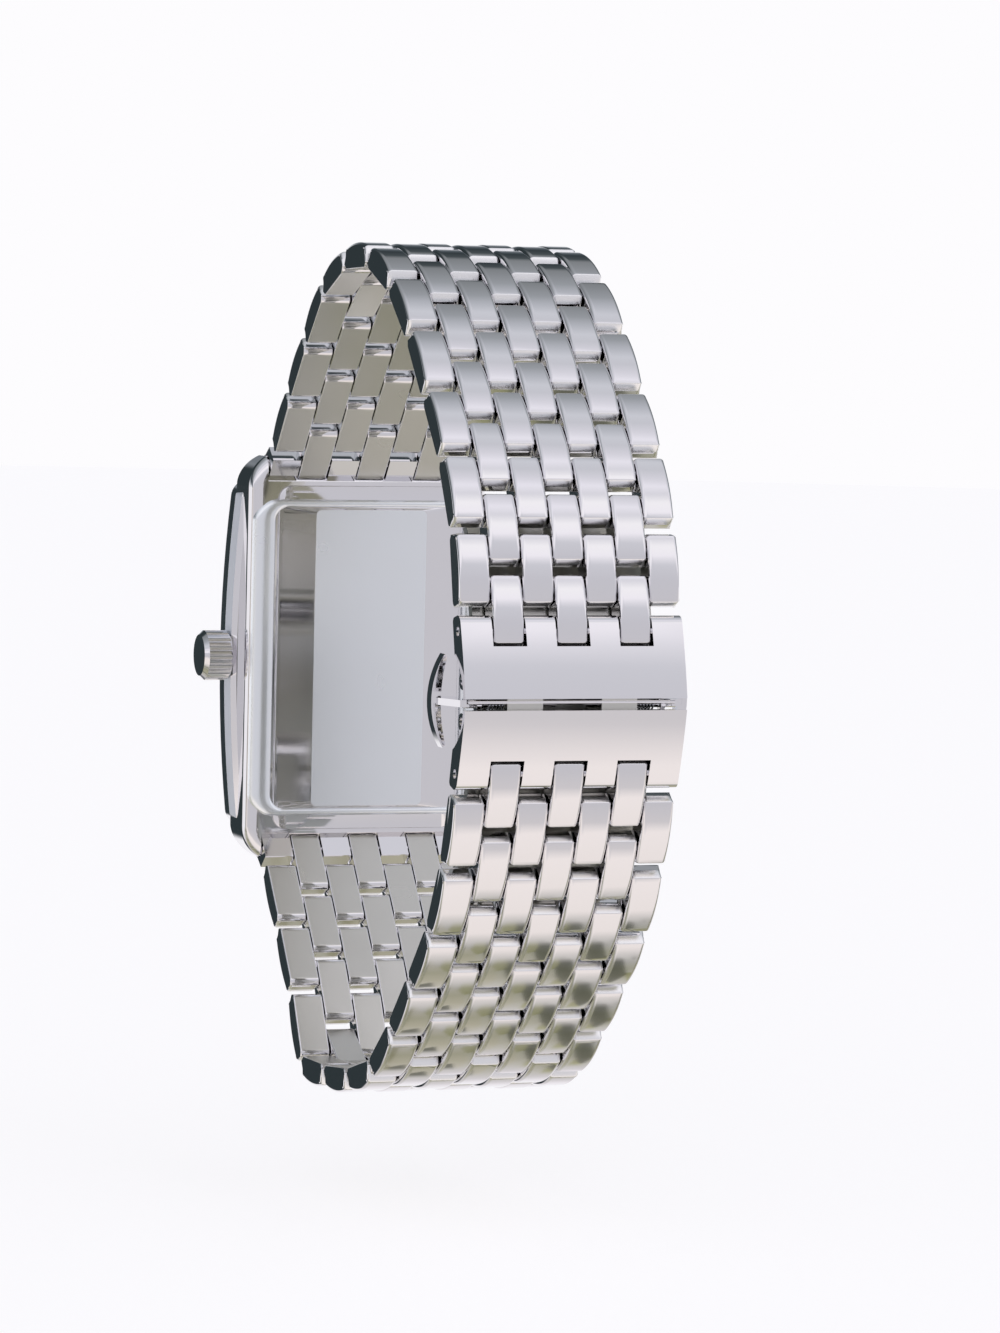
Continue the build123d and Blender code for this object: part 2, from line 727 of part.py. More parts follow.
# End links, spring bars and the clasp
END_PLACE = (
    sqrt(BLADE_RADIUS**2 - HINGE_ALONG**2) - BLADE_RADIUS - BLADE_DEPTH,
    HINGE_ALONG,
)
TIP_PLACE = (
    sqrt(BLADE_RADIUS**2 - TIP_ALONG**2) - BLADE_RADIUS - BLADE_DEPTH,
    TIP_ALONG,
)
PLATE_TOP = PLATE_RADIUS - BLADE_RADIUS - BLADE_DEPTH + PLATE_THICKNESS / 2
for side in (1, -1):
    save(end_link(side), f"end_link_{names[side]}")
    save(clasp_cover(side), f"clasp_cover_{names[side]}")
    save(clasp_blade(side), f"clasp_blade_{names[side]}")
bars = [spring_bar(side) for side in (1, -1)]
with BuildPart() as bar_pair:
    for bar in bars:
        add(bar, clean=False)
save(bar_pair.part, "spring_bars")
save(centre_plate(), "clasp_centre_plate")
springs = [pusher_spring(hand) for hand in (1, -1)]
with BuildPart() as spring_pair:
    for spring in springs:
        add(spring, clean=False)
save(spring_pair.part, "pusher_springs")
save(clasp_pusher(1), "clasp_pusher_right")
save(clasp_pusher(-1), "clasp_pusher_left")


def plate(outline, back_y, front_y, mode=Mode.ADD):
    """Extrude a face outline from its back to its front inside the open part."""
    with BuildSketch(face_plane(back_y)) as section:
        add(outline)
    extrude(section.sketch, amount=back_y - front_y, mode=mode)


def rounded(width, height, corner):
    """Rounded rectangle face outline."""
    with BuildSketch() as outline:
        RectangleRounded(width, height, corner)
    return outline.sketch


def spot(x, z, radius):
    """Round face outline at a place."""
    with BuildSketch() as outline:
        with Locations((x, z)):
            Circle(radius)
    return outline.sketch


def bowed(width, height, bow, corner):
    """Face outline with straight ends, bowed sides and rounded corners."""
    edge = width / 2 - bow
    with BuildSketch() as outline:
        with BuildLine():
            ThreePointArc((edge, -height / 2), (width / 2, 0), (edge, height / 2))
            Line((edge, height / 2), (-edge, height / 2))
            ThreePointArc((-edge, height / 2), (-width / 2, 0), (-edge, -height / 2))
            Line((-edge, -height / 2), (edge, -height / 2))
        make_face()
        fillet(outline.vertices(), corner)
    return outline.sketch


def lug_profile():
    """Side outline of the case block: flat back, and lugs that turn down and round off at both ends."""
    end = CASE_HEIGHT / 2
    with BuildSketch() as outline:
        with BuildLine():
            for side in (1, -1):
                back = (CASE_BACK_Y, side * (end - LUG_BACK_ROUND))
                tip_back = (CASE_BACK_Y - LUG_BACK_ROUND, side * end)
                tip_front = (LUG_TIP_Y, side * end)
                front = (BEZEL_BACK_Y, side * (BOWED_HEIGHT / 2 + FIT_CLEARANCE))
                RadiusArc(back, tip_back, -side * LUG_BACK_ROUND)
                Line(tip_back, tip_front)
                bend = (
                    (tip_front[0] + front[0]) / 2 - LUG_BULGE,
                    (tip_front[1] + front[1]) / 2 + side * LUG_BULGE,
                )
                ThreePointArc(tip_front, bend, front)
            Line(
                (BEZEL_BACK_Y, BOWED_HEIGHT / 2 + FIT_CLEARANCE),
                (BEZEL_BACK_Y, -BOWED_HEIGHT / 2 - FIT_CLEARANCE),
            )
            Line((CASE_BACK_Y, end - LUG_BACK_ROUND), (CASE_BACK_Y, LUG_BACK_ROUND - end))
        make_face()
    return outline.sketch


def flanks():
    """Bowed band of the middle case under the bezel, with a bevelled back edge."""
    with BuildPart() as band:
        plate(bowed(BOWED_WIDTH, BOWED_HEIGHT, BOW, BOWED_CORNER), BOWED_BACK_Y, BEZEL_BACK_Y)
        chamfer(band.faces().sort_by(Axis.Y)[-1].edges(), BOWED_EDGE)
    return band.part


def case_body():
    """Middle case: block with four lugs, bowed flanks, the movement's cavity and the crown tube's hole."""
    half = CASE_WIDTH / 2
    bowed_band = flanks()
    with BuildPart() as case:
        plate(rounded(CASE_WIDTH, CASE_HEIGHT, CASE_CORNER), CASE_BACK_Y, BEZEL_BACK_Y)
        fillet(case.faces().sort_by(Axis.Y)[-1].edges(), BACK_SHOULDER)
        prism(lug_profile(), -half, half, Mode.INTERSECT)
        add(bowed_band)
        bay = BRACELET_WIDTH / 2 + LUG_GAP
        for side in (1, -1):
            room = polygon(
                mirrored(
                    side,
                    [
                        (0, BAY_HEIGHT / 2),
                        (0, CASE_HEIGHT),
                        (2 * BEZEL_BACK_Y, CASE_HEIGHT),
                        (2 * BEZEL_BACK_Y, BAY_HEIGHT / 2),
                    ],
                )
            )
            prism(room, -bay, bay, Mode.SUBTRACT)
            hole = disc((BAR_Y, side * BAR_Z), BAR_TIP_RADIUS + PIN_CLEARANCE)
            deep = bay + BAR_TIP + FIT_CLEARANCE
            prism(hole, -deep, deep, Mode.SUBTRACT)
        seat = rounded(BACK_WIDTH + 2 * FIT_CLEARANCE, BACK_HEIGHT + 2 * FIT_CLEARANCE, BACK_CORNER)
        plate(seat, 0, -BACK_RIM, Mode.SUBTRACT)
        plate(rounded(CAVITY_WIDTH, CAVITY_HEIGHT, CAVITY_CORNER), 0, 2 * BEZEL_BACK_Y, Mode.SUBTRACT)
        dial_seat = rounded(DIAL_SEAT_WIDTH, DIAL_SEAT_HEIGHT, CAVITY_CORNER)
        plate(dial_seat, DIAL_SEAT_Y, 2 * BEZEL_BACK_Y, Mode.SUBTRACT)
        prism(disc((CROWN_Y, 0), TUBE_RADIUS + PIN_CLEARANCE), 0, BOWED_WIDTH, Mode.SUBTRACT)
    return case.part


def bezel():
    """Front frame over the dial: bowed sides, rounded front edge and a stepped opening for the crystal."""
    with BuildPart() as frame:
        plate(bowed(BOWED_WIDTH, BOWED_HEIGHT, BOW, BOWED_CORNER), BEZEL_BACK_Y, BEZEL_FRONT_Y)
        fillet(frame.faces().sort_by(Axis.Y)[0].edges(), BEZEL_ROUND)
        window = rounded(WINDOW_WIDTH, WINDOW_HEIGHT, WINDOW_CORNER)
        plate(window, 0, 2 * BEZEL_FRONT_Y, Mode.SUBTRACT)
        seat = rounded(
            WINDOW_WIDTH - 2 * CRYSTAL_SEAT, WINDOW_HEIGHT - 2 * CRYSTAL_SEAT, WINDOW_CORNER / 2
        )
        ledge_y = BEZEL_FRONT_Y + CRYSTAL_THICKNESS
        plate(window, ledge_y, BEZEL_BACK_Y)
        plate(seat, 0, 2 * BEZEL_FRONT_Y, Mode.SUBTRACT)
    return frame.part


def ring(outer, inner, back_y, front_y):
    """Flat ring between two face outlines."""
    with BuildPart() as band:
        plate(outer, back_y, front_y)
        plate(inner, 2 * back_y - front_y, 2 * front_y - back_y, Mode.SUBTRACT)
    return band.part


def case_back():
    """Case back: satin panel, wide sloping polished border, and a plug wall with a gasket groove."""
    plug_width, plug_height = (size - 2 * FIT_CLEARANCE for size in (CAVITY_WIDTH, CAVITY_HEIGHT))
    groove_width, groove_height = (size - 2 * GASKET for size in (plug_width, plug_height))
    with BuildPart() as back:
        with BuildSketch(face_plane(-BACK_BORDER_FALL)):
            RectangleRounded(BACK_WIDTH, BACK_HEIGHT, BACK_CORNER)
        with BuildSketch(face_plane(0)):
            RectangleRounded(BACK_WIDTH - 2 * BACK_BORDER, BACK_HEIGHT - 2 * BACK_BORDER, BACK_CORNER / 2)
        loft()
        plate(rounded(BACK_WIDTH, BACK_HEIGHT, BACK_CORNER), -BACK_BORDER_FALL, -BACK_RIM)
        plate(rounded(groove_width, groove_height, CAVITY_CORNER), -BACK_RIM, -BACK_RIM - BACK_PLUG)
        lip = BACK_RIM + BACK_PLUG - GASKET_LIP
        plate(rounded(plug_width, plug_height, CAVITY_CORNER), -lip, -BACK_RIM - BACK_PLUG)
        hollow = rounded(groove_width - 2 * PLUG_WALL, groove_height - 2 * PLUG_WALL, CAVITY_CORNER / 2)
        plate(hollow, -BACK_RIM, -2 * BACK_RIM - BACK_PLUG, Mode.SUBTRACT)
    return back.part


def crown():
    """Crown on the stem: fluted barrel, bevelled and slightly domed outer face, and a bore over the tube."""
    near = BOWED_WIDTH / 2 + CROWN_GAP
    far = near + CROWN_LENGTH
    axis = (CROWN_Y, 0)
    with BuildPart() as knob:
        prism(disc(axis, CROWN_RADIUS), near, far)
        chamfer(knob.faces().sort_by(Axis.X)[-1].edges(), CROWN_BEVEL)
        chamfer(knob.faces().sort_by(Axis.X)[0].edges(), CROWN_BEVEL / 2)
        with BuildSketch(Plane.YZ.offset(near)) as flutes:
            with Locations((CROWN_Y, 0)):
                with PolarLocations(CROWN_RADIUS + FLUTE_RADIUS - FLUTE_DEPTH, CROWN_FLUTES):
                    Circle(FLUTE_RADIUS)
        extrude(flutes.sketch, amount=CROWN_LENGTH - CROWN_BEVEL, mode=Mode.SUBTRACT)
        bore = TUBE_RADIUS + RUNNING_CLEARANCE
        prism(disc(axis, bore), near, near + TUBE_REACH + FIT_CLEARANCE, Mode.SUBTRACT)
        prism(disc(axis, STEM_RADIUS + PIN_CLEARANCE), near, far - CROWN_FACE, Mode.SUBTRACT)
    return knob.part


def stem():
    """Winding stem from the movement to the crown, with a slim neck for the setting lever."""
    axis = (CROWN_Y, 0)
    far = BOWED_WIDTH / 2 + CROWN_GAP + CROWN_LENGTH - CROWN_FACE - FIT_CLEARANCE
    with BuildPart() as rod:
        prism(disc(axis, STEM_RADIUS), STEM_START, far)
        low = STEM_START + STEM_NECK
        prism(disc(axis, STEM_RADIUS * 2), low, low + STEM_NECK, Mode.SUBTRACT)
        prism(disc(axis, STEM_RADIUS / 2), low, low + STEM_NECK)
    return rod.part


def tube():
    """Crown tube pressed through the case wall."""
    axis = (CROWN_Y, 0)
    low = DIAL_SEAT_WIDTH / 2 + FIT_CLEARANCE
    high = BOWED_WIDTH / 2 + CROWN_GAP + TUBE_REACH
    with BuildPart() as sleeve:
        prism(disc(axis, TUBE_RADIUS), low, high)
        prism(disc(axis, STEM_RADIUS + RUNNING_CLEARANCE), low, high, Mode.SUBTRACT)
    return sleeve.part


def gear(teeth, module, turn=0):
    """Toothed wheel face outline centred on its own axis."""
    pitch = module * teeth / 2
    tip, root = pitch + module * TOOTH_ADDENDUM_SHARE, pitch - module * TOOTH_DEDENDUM_SHARE
    step = 2 * pi / teeth
    points = []
    for tooth in range(teeth):
        middle = tooth * step + turn
        for reach, share in (
            (root, -TOOTH_ROOT_SHARE),
            (tip, -TOOTH_TIP_SHARE),
            (tip, TOOTH_TIP_SHARE),
            (root, TOOTH_ROOT_SHARE),
        ):
            angle = middle + share * step / 4
            points.append((reach * cos(angle), reach * sin(angle)))
    return polygon(points)


def at_place(outline, place):
    """The same face outline moved to a place (x, z)."""
    with BuildSketch() as moved:
        with Locations(place):
            add(outline)
    return moved.sketch


# Case, crown and case back
save(case_body(), "case_body")
save(bezel(), "bezel")
save(case_back(), "case_back")
save(crown(), "crown")
save(stem(), "winding_stem")
save(tube(), "crown_tube")
plug = [size - 2 * FIT_CLEARANCE for size in (CAVITY_WIDTH, CAVITY_HEIGHT)]
lip_y = GASKET_LIP - BACK_RIM - BACK_PLUG
save(
    ring(
        rounded(plug[0], plug[1], CAVITY_CORNER),
        rounded(*(size - 2 * GASKET + 2 * PIN_CLEARANCE for size in plug), CAVITY_CORNER),
        -BACK_RIM - PIN_CLEARANCE,
        lip_y + PIN_CLEARANCE,
    ),
    "case_back_gasket",
)

# Crystal and dial
glass = [size - 2 * CRYSTAL_GASKET for size in (WINDOW_WIDTH, WINDOW_HEIGHT)]
with BuildPart() as crystal:
    plate(
        rounded(*glass, WINDOW_CORNER / 2),
        BEZEL_FRONT_Y + CRYSTAL_THICKNESS,
        BEZEL_FRONT_Y - CRYSTAL_RISE,
    )
    chamfer(crystal.faces().sort_by(Axis.Y)[0].edges(), CRYSTAL_RISE)
save(crystal.part, "crystal")
save(
    ring(
        rounded(*(size - 2 * PIN_CLEARANCE for size in (WINDOW_WIDTH, WINDOW_HEIGHT)), WINDOW_CORNER),
        rounded(*(size + 2 * PIN_CLEARANCE for size in glass), WINDOW_CORNER / 2),
        BEZEL_FRONT_Y + CRYSTAL_THICKNESS,
        BEZEL_FRONT_Y + CRYSTAL_RISE,
    ),
    "crystal_gasket",
)

cannon_bore = ARBOR_RADIUS + RUNNING_CLEARANCE
cannon_radius = cannon_bore + PIPE_WALL
hour_bore = cannon_radius + RUNNING_CLEARANCE
hour_radius = hour_bore + PIPE_WALL
dial_front_y = DIAL_SEAT_Y - DIAL_THICKNESS
minute_hand_y = HOUR_HAND_Y - HAND_STEP
second_hand_y = minute_hand_y - HAND_STEP
dial_width, dial_height = (size - 2 * FIT_CLEARANCE for size in (DIAL_SEAT_WIDTH, DIAL_SEAT_HEIGHT))

with BuildPart() as dial:
    plate(rounded(dial_width, dial_height, CAVITY_CORNER), DIAL_SEAT_Y, dial_front_y)
    plate(spot(0, 0, hour_radius + RUNNING_CLEARANCE), 0, 2 * dial_front_y, Mode.SUBTRACT)
save(dial.part, "dial")


def marker(hour):
    """Applied baton for one hour, standing square on a rectangle just inside the window."""
    across, up = sin(2 * pi * hour / HOUR_MARKS), cos(2 * pi * hour / HOUR_MARKS)
    half_width = WINDOW_WIDTH / 2 - CRYSTAL_SEAT - MARKER_INSET - MARKER_LENGTH / 2
    half_height = WINDOW_HEIGHT / 2 - CRYSTAL_SEAT - MARKER_INSET - MARKER_LENGTH / 2
    upright = abs(up) * half_width > abs(across) * half_height
    with BuildSketch() as outline:
        if upright:
            with Locations((copysign(half_height, up) * across / up, copysign(half_height, up))):
                Rectangle(MARKER_WIDTH, MARKER_LENGTH)
        else:
            with Locations((copysign(half_width, across), copysign(half_width, across) * up / across)):
                Rectangle(MARKER_LENGTH, MARKER_WIDTH)
    return outline.sketch


with BuildPart() as markers:
    for hour in range(HOUR_MARKS):
        plate(marker(hour), dial_front_y, dial_front_y - MARKER_HEIGHT)
save(markers.part, "dial_markers")

# Movement
third_turn, minute_turn = radians(THIRD_WHEEL_ANGLE), radians(MINUTE_WHEEL_ANGLE)
third_distance = SECONDS_MODULE * (PINION_TEETH + THIRD_TEETH) / 2
minute_distance = MOTION_MODULE * (CANNON_TEETH + MINUTE_TEETH) / 2
third_place = (third_distance * cos(third_turn), third_distance * sin(third_turn))
minute_place = (minute_distance * cos(minute_turn), minute_distance * sin(minute_turn))
hour_module = 2 * minute_distance / (MINUTE_PINION_TEETH + HOUR_TEETH)
centre_module = 2 * third_distance / (PINION_TEETH + CENTRE_TEETH)
posts = [
    (BRIDGE_X + across * (BRIDGE_WIDTH / 2 - POST_INSET), BRIDGE_Z + up * (BRIDGE_HEIGHT / 2 - POST_INSET))
    for across, up in ((-1, -1), (1, 1))
]
stem_room = STEM_RADIUS + RUNNING_CLEARANCE

with BuildPart() as holder:
    plate(rounded(*plug, CAVITY_CORNER), HOLDER_BACK_Y, DIAL_SEAT_Y)
    opening = [size + 2 * FIT_CLEARANCE for size in (MOVEMENT_WIDTH, MOVEMENT_HEIGHT)]
    plate(rounded(*opening, CAVITY_CORNER), 0, 2 * DIAL_SEAT_Y, Mode.SUBTRACT)
    prism(disc((CROWN_Y, 0), stem_room), 0, CAVITY_WIDTH, Mode.SUBTRACT)
save(holder.part, "movement_holder")

with BuildPart() as main_plate:
    plate(rounded(MOVEMENT_WIDTH, MOVEMENT_HEIGHT, CAVITY_CORNER), MAIN_PLATE_BACK_Y, DIAL_SEAT_Y)
    floor_y = MAIN_PLATE_BACK_Y - MAIN_PLATE_FLOOR
    minute_room = MOTION_MODULE * MINUTE_TEETH / 2 + WHEEL_ROOM
    hour_room = hour_module * HOUR_TEETH / 2 + WHEEL_ROOM
    plate(spot(*minute_place, minute_room), floor_y, 2 * DIAL_SEAT_Y, Mode.SUBTRACT)
    plate(spot(0, 0, hour_room), floor_y, 2 * DIAL_SEAT_Y, Mode.SUBTRACT)
    plate(spot(0, 0, cannon_radius + RUNNING_CLEARANCE), 0, 2 * DIAL_SEAT_Y, Mode.SUBTRACT)
    for place in (minute_place, third_place):
        plate(spot(*place, ARBOR_RADIUS + RUNNING_CLEARANCE), 0, floor_y, Mode.SUBTRACT)
    low = STEM_START - RUNNING_CLEARANCE
    prism(disc((CROWN_Y, 0), stem_room), low, MOVEMENT_WIDTH, Mode.SUBTRACT)
    for place in posts:
        plate(spot(*place, SCREW_RADIUS + PIN_CLEARANCE), 0, floor_y, Mode.SUBTRACT)
save(main_plate.part, "main_plate")

with BuildPart() as bridge:
    bridge_front_y = BRIDGE_Y - BRIDGE_THICKNESS
    with BuildSketch() as outline:
        with Locations((BRIDGE_X, BRIDGE_Z)):
            RectangleRounded(BRIDGE_WIDTH, BRIDGE_HEIGHT, POST_INSET)
    plate(outline.sketch, BRIDGE_Y, bridge_front_y)
    for place in posts:
        plate(spot(*place, POST_RADIUS), bridge_front_y, MAIN_PLATE_BACK_Y)
        plate(spot(*place, SCREW_RADIUS + PIN_CLEARANCE), 0, 2 * MAIN_PLATE_BACK_Y, Mode.SUBTRACT)
    for place in ((0, 0), third_place):
        plate(spot(*place, ARBOR_RADIUS + RUNNING_CLEARANCE), 0, 2 * bridge_front_y, Mode.SUBTRACT)
save(bridge.part, "train_bridge")

with BuildPart() as screws:
    for place in posts:
        plate(spot(*place, SCREW_HEAD_RADIUS), BRIDGE_Y + SCREW_HEAD, BRIDGE_Y)
        plate(spot(*place, SCREW_RADIUS), BRIDGE_Y, MAIN_PLATE_BACK_Y - MAIN_PLATE_FLOOR)
        with BuildSketch(face_plane(BRIDGE_Y + SCREW_HEAD)) as slots:
            with Locations(place):
                Rectangle(2 * SCREW_HEAD_RADIUS, SCREW_RADIUS / 2)
        extrude(slots.sketch, amount=SCREW_HEAD / 2, mode=Mode.SUBTRACT)
save(screws.part, "movement_screws")

with BuildPart() as circuit:
    with BuildSketch() as outline:
        edge = MOVEMENT_WIDTH / 2 - CAP_STEP, MOVEMENT_HEIGHT / 2 - CAP_STEP
        with Locations((CIRCUIT_WIDTH / 2 - edge[0], CIRCUIT_HEIGHT / 2 - edge[1])):
            Rectangle(CIRCUIT_WIDTH, CIRCUIT_HEIGHT)
    plate(outline.sketch, CIRCUIT_Y, CIRCUIT_Y - CIRCUIT_THICKNESS)
    with BuildSketch() as chip:
        with Locations((CIRCUIT_WIDTH / 2 - edge[0], CIRCUIT_HEIGHT / 2 - edge[1])):
            Rectangle(CIRCUIT_WIDTH / 3, CIRCUIT_HEIGHT / 3)
    plate(chip.sketch, CIRCUIT_Y - CIRCUIT_THICKNESS, MAIN_PLATE_BACK_Y)
save(circuit.part, "circuit_board")

with BuildPart() as battery:
    can = (BATTERY_X, BATTERY_Z)
    plate(spot(*can, BATTERY_RADIUS), BATTERY_BACK_Y, BATTERY_BACK_Y - BATTERY_THICKNESS)
    step = BATTERY_BACK_Y - BATTERY_THICKNESS
    plate(spot(*can, BATTERY_RADIUS - CAP_STEP), step, MAIN_PLATE_BACK_Y)
save(battery.part, "battery")

with BuildPart() as coil:
    prism(disc((COIL_Y, COIL_Z), COIL_CORE_RADIUS), -COIL_LENGTH / 2 - CAP_STEP, COIL_LENGTH / 2 + CAP_STEP)
    prism(disc((COIL_Y, COIL_Z), COIL_RADIUS), -COIL_LENGTH / 2, COIL_LENGTH / 2)
    foot = polygon(
        [
            (COIL_Y, COIL_Z - COIL_CORE_RADIUS),
            (COIL_Y, COIL_Z + COIL_CORE_RADIUS),
            (MAIN_PLATE_BACK_Y, COIL_Z + COIL_CORE_RADIUS),
            (MAIN_PLATE_BACK_Y, COIL_Z - COIL_CORE_RADIUS),
        ]
    )
    for low in (-COIL_LENGTH / 2 - CAP_STEP, COIL_LENGTH / 2):
        prism(foot, low, low + CAP_STEP)
save(coil.part, "stepping_coil")

# Wheels
with BuildPart() as seconds_wheel:
    plate(gear(THIRD_TEETH, SECONDS_MODULE), SECONDS_WHEEL_Y, SECONDS_WHEEL_Y - WHEEL_THICKNESS)
    seconds_pinion = gear(PINION_TEETH, SECONDS_MODULE, third_turn)
    plate(seconds_pinion, SECONDS_WHEEL_Y, THIRD_WHEEL_Y - WHEEL_THICKNESS)
    plate(spot(0, 0, ARBOR_RADIUS), BRIDGE_Y, second_hand_y - HAND_THICKNESS)
save(seconds_wheel.part, "seconds_wheel")

with BuildPart() as third_wheel:
    third_gear = gear(THIRD_TEETH, SECONDS_MODULE, third_turn + pi / THIRD_TEETH)
    plate(at_place(third_gear, third_place), THIRD_WHEEL_Y, THIRD_WHEEL_Y - WHEEL_THICKNESS)
    third_pinion = gear(PINION_TEETH, centre_module, third_turn)
    plate(at_place(third_pinion, third_place), THIRD_WHEEL_Y, CENTRE_WHEEL_Y - WHEEL_THICKNESS)
    plate(spot(*third_place, ARBOR_RADIUS), BRIDGE_Y, MAIN_PLATE_BACK_Y - MAIN_PLATE_FLOOR)
save(third_wheel.part, "third_wheel")

with BuildPart() as minute_wheel:
    minute_gear = gear(MINUTE_TEETH, MOTION_MODULE, minute_turn + pi / MINUTE_TEETH)
    plate(at_place(minute_gear, minute_place), MINUTE_WHEEL_Y, MINUTE_WHEEL_Y - WHEEL_THICKNESS)
    minute_pinion = gear(MINUTE_PINION_TEETH, hour_module, minute_turn)
    plate(at_place(minute_pinion, minute_place), MINUTE_WHEEL_Y, HOUR_WHEEL_Y - WHEEL_THICKNESS)
    plate(spot(*minute_place, ARBOR_RADIUS), MAIN_PLATE_BACK_Y, HOUR_WHEEL_Y - WHEEL_THICKNESS)
save(minute_wheel.part, "minute_wheel")

with BuildPart() as hour_wheel:
    hour_gear = gear(HOUR_TEETH, hour_module, minute_turn + pi / HOUR_TEETH)
    plate(hour_gear, HOUR_WHEEL_Y, HOUR_WHEEL_Y - WHEEL_THICKNESS)
    plate(spot(0, 0, hour_radius), HOUR_WHEEL_Y, HOUR_HAND_Y - HAND_THICKNESS)
    plate(spot(0, 0, hour_bore), 0, 2 * HOUR_HAND_Y, Mode.SUBTRACT)
save(hour_wheel.part, "hour_wheel")


def hand(length, tail, width, bore, back_y, angle):
    """Pointed baton hand on a round hub, turned clockwise from 12 by an angle in degrees."""
    ahead = (sin(radians(angle)), cos(radians(angle)))
    points = [
        (along * ahead[0] + across * ahead[1], along * ahead[1] - across * ahead[0])
        for along, across in (
            (-tail, -width / 2),
            (length - width, -width / 2),
            (length, 0),
            (length - width, width / 2),
            (-tail, width / 2),
        )
    ]
    with BuildPart() as piece:
        plate(polygon(points), back_y, back_y - HAND_THICKNESS)
        plate(spot(0, 0, HAND_HUB_RADIUS), back_y, back_y - HAND_THICKNESS)
        plate(spot(0, 0, bore), 0, 2 * back_y, Mode.SUBTRACT)
    return piece.part


# Hands, with the cannon pinion and centre wheel that carry the minute hand
minute_angle = 360 * (SHOWN_MINUTES / 60 + SHOWN_SECONDS / 3600)
hour_angle = 360 * (SHOWN_HOURS / 12 + minute_angle / 360 / 12)
hub = HAND_HUB_RADIUS
hour_hand = hand(HOUR_HAND_LENGTH, hub, HAND_WIDTH, hour_radius + PIN_CLEARANCE, HOUR_HAND_Y, hour_angle)
minute_hand = hand(
    MINUTE_HAND_LENGTH, hub, HAND_WIDTH, cannon_radius + PIN_CLEARANCE, minute_hand_y, minute_angle
)
second_hand = hand(
    SECOND_HAND_LENGTH,
    SECOND_HAND_TAIL,
    SECOND_HAND_WIDTH,
    ARBOR_RADIUS + PIN_CLEARANCE,
    second_hand_y,
    360 * SHOWN_SECONDS / 60,
)
with BuildPart() as cannon:
    centre_gear = gear(CENTRE_TEETH, centre_module, third_turn + pi / CENTRE_TEETH)
    plate(centre_gear, CENTRE_WHEEL_Y, CENTRE_WHEEL_Y - WHEEL_THICKNESS)
    plate(spot(0, 0, cannon_radius), CENTRE_WHEEL_Y, minute_hand_y - HAND_THICKNESS)
    cannon_pinion = gear(CANNON_TEETH, MOTION_MODULE, minute_turn)
    plate(cannon_pinion, MINUTE_WHEEL_Y, MINUTE_WHEEL_Y - WHEEL_THICKNESS)
    plate(spot(0, 0, cannon_bore), 0, 2 * minute_hand_y, Mode.SUBTRACT)
    add(minute_hand, clean=False)
save(cannon.part, "minute_hand")
save(hour_hand, "hour_hand")
save(second_hand, "second_hand")
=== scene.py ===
"""Rectangular steel wristwatch on a link bracelet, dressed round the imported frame.

Metres, in the frame's own axes: the origin is the middle of the case back's flat face, +X is 3 o'clock, +Z is
12 o'clock, and the dial faces -Y. Lengths written with MM are millimetres.
"""
from __future__ import annotations

import logging
import math
from collections.abc import Callable, Sequence
from dataclasses import dataclass, field
from enum import Enum
from typing import ClassVar

import bmesh
import bpy
from mathutils import Matrix, Vector

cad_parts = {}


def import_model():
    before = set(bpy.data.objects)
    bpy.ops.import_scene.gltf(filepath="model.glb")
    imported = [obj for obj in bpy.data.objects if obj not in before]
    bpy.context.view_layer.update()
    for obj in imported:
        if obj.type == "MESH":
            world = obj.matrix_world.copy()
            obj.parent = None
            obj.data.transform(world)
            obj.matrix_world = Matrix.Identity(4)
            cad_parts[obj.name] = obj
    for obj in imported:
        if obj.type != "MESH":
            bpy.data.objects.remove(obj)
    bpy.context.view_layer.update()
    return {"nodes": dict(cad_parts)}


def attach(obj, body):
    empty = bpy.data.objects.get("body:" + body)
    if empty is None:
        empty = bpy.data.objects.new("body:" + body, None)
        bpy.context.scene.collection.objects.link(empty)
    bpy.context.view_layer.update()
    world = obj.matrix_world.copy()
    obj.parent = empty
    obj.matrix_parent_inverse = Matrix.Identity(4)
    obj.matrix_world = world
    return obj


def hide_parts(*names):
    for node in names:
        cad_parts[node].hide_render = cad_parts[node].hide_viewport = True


MM = 0.001
# height of the surface noise, too shallow to change an outline
GRAIN_HEIGHT = 0.02 * MM
RAY_HEIGHT = 0.05 * MM
# the case's bowed flank: how squarely its faces look sideways, and how far out they start in millimetres
FLANK_FACING = 0.9
FLANK_START = 11.72
log = logging.getLogger("watch")
logging.basicConfig(level=logging.INFO, format="%(message)s")


class Side(Enum):
    """Half of the bracelet, with the sign of its Z."""

    TWELVE = 1
    SIX = -1

    @property
    def tag(self) -> str:
        """Name used in the frame's nodes and bodies."""
        return "12" if self is Side.TWELVE else "6"


def linear(hex_colour: str) -> tuple[float, float, float, float]:
    """Turn an sRGB hex colour into linear RGBA.

    Args:
        hex_colour: Six hex digits, with or without a leading mark.

    Returns:
        Linear red, green, blue and an alpha of 1.
    """
    digits = hex_colour.lstrip("#")
    channels = [int(digits[place : place + 2], 16) / 255 for place in (0, 2, 4)]
    red, green, blue = (c / 12.92 if c <= 0.04045 else ((c + 0.055) / 1.055) ** 2.4 for c in channels)
    return red, green, blue, 1.0


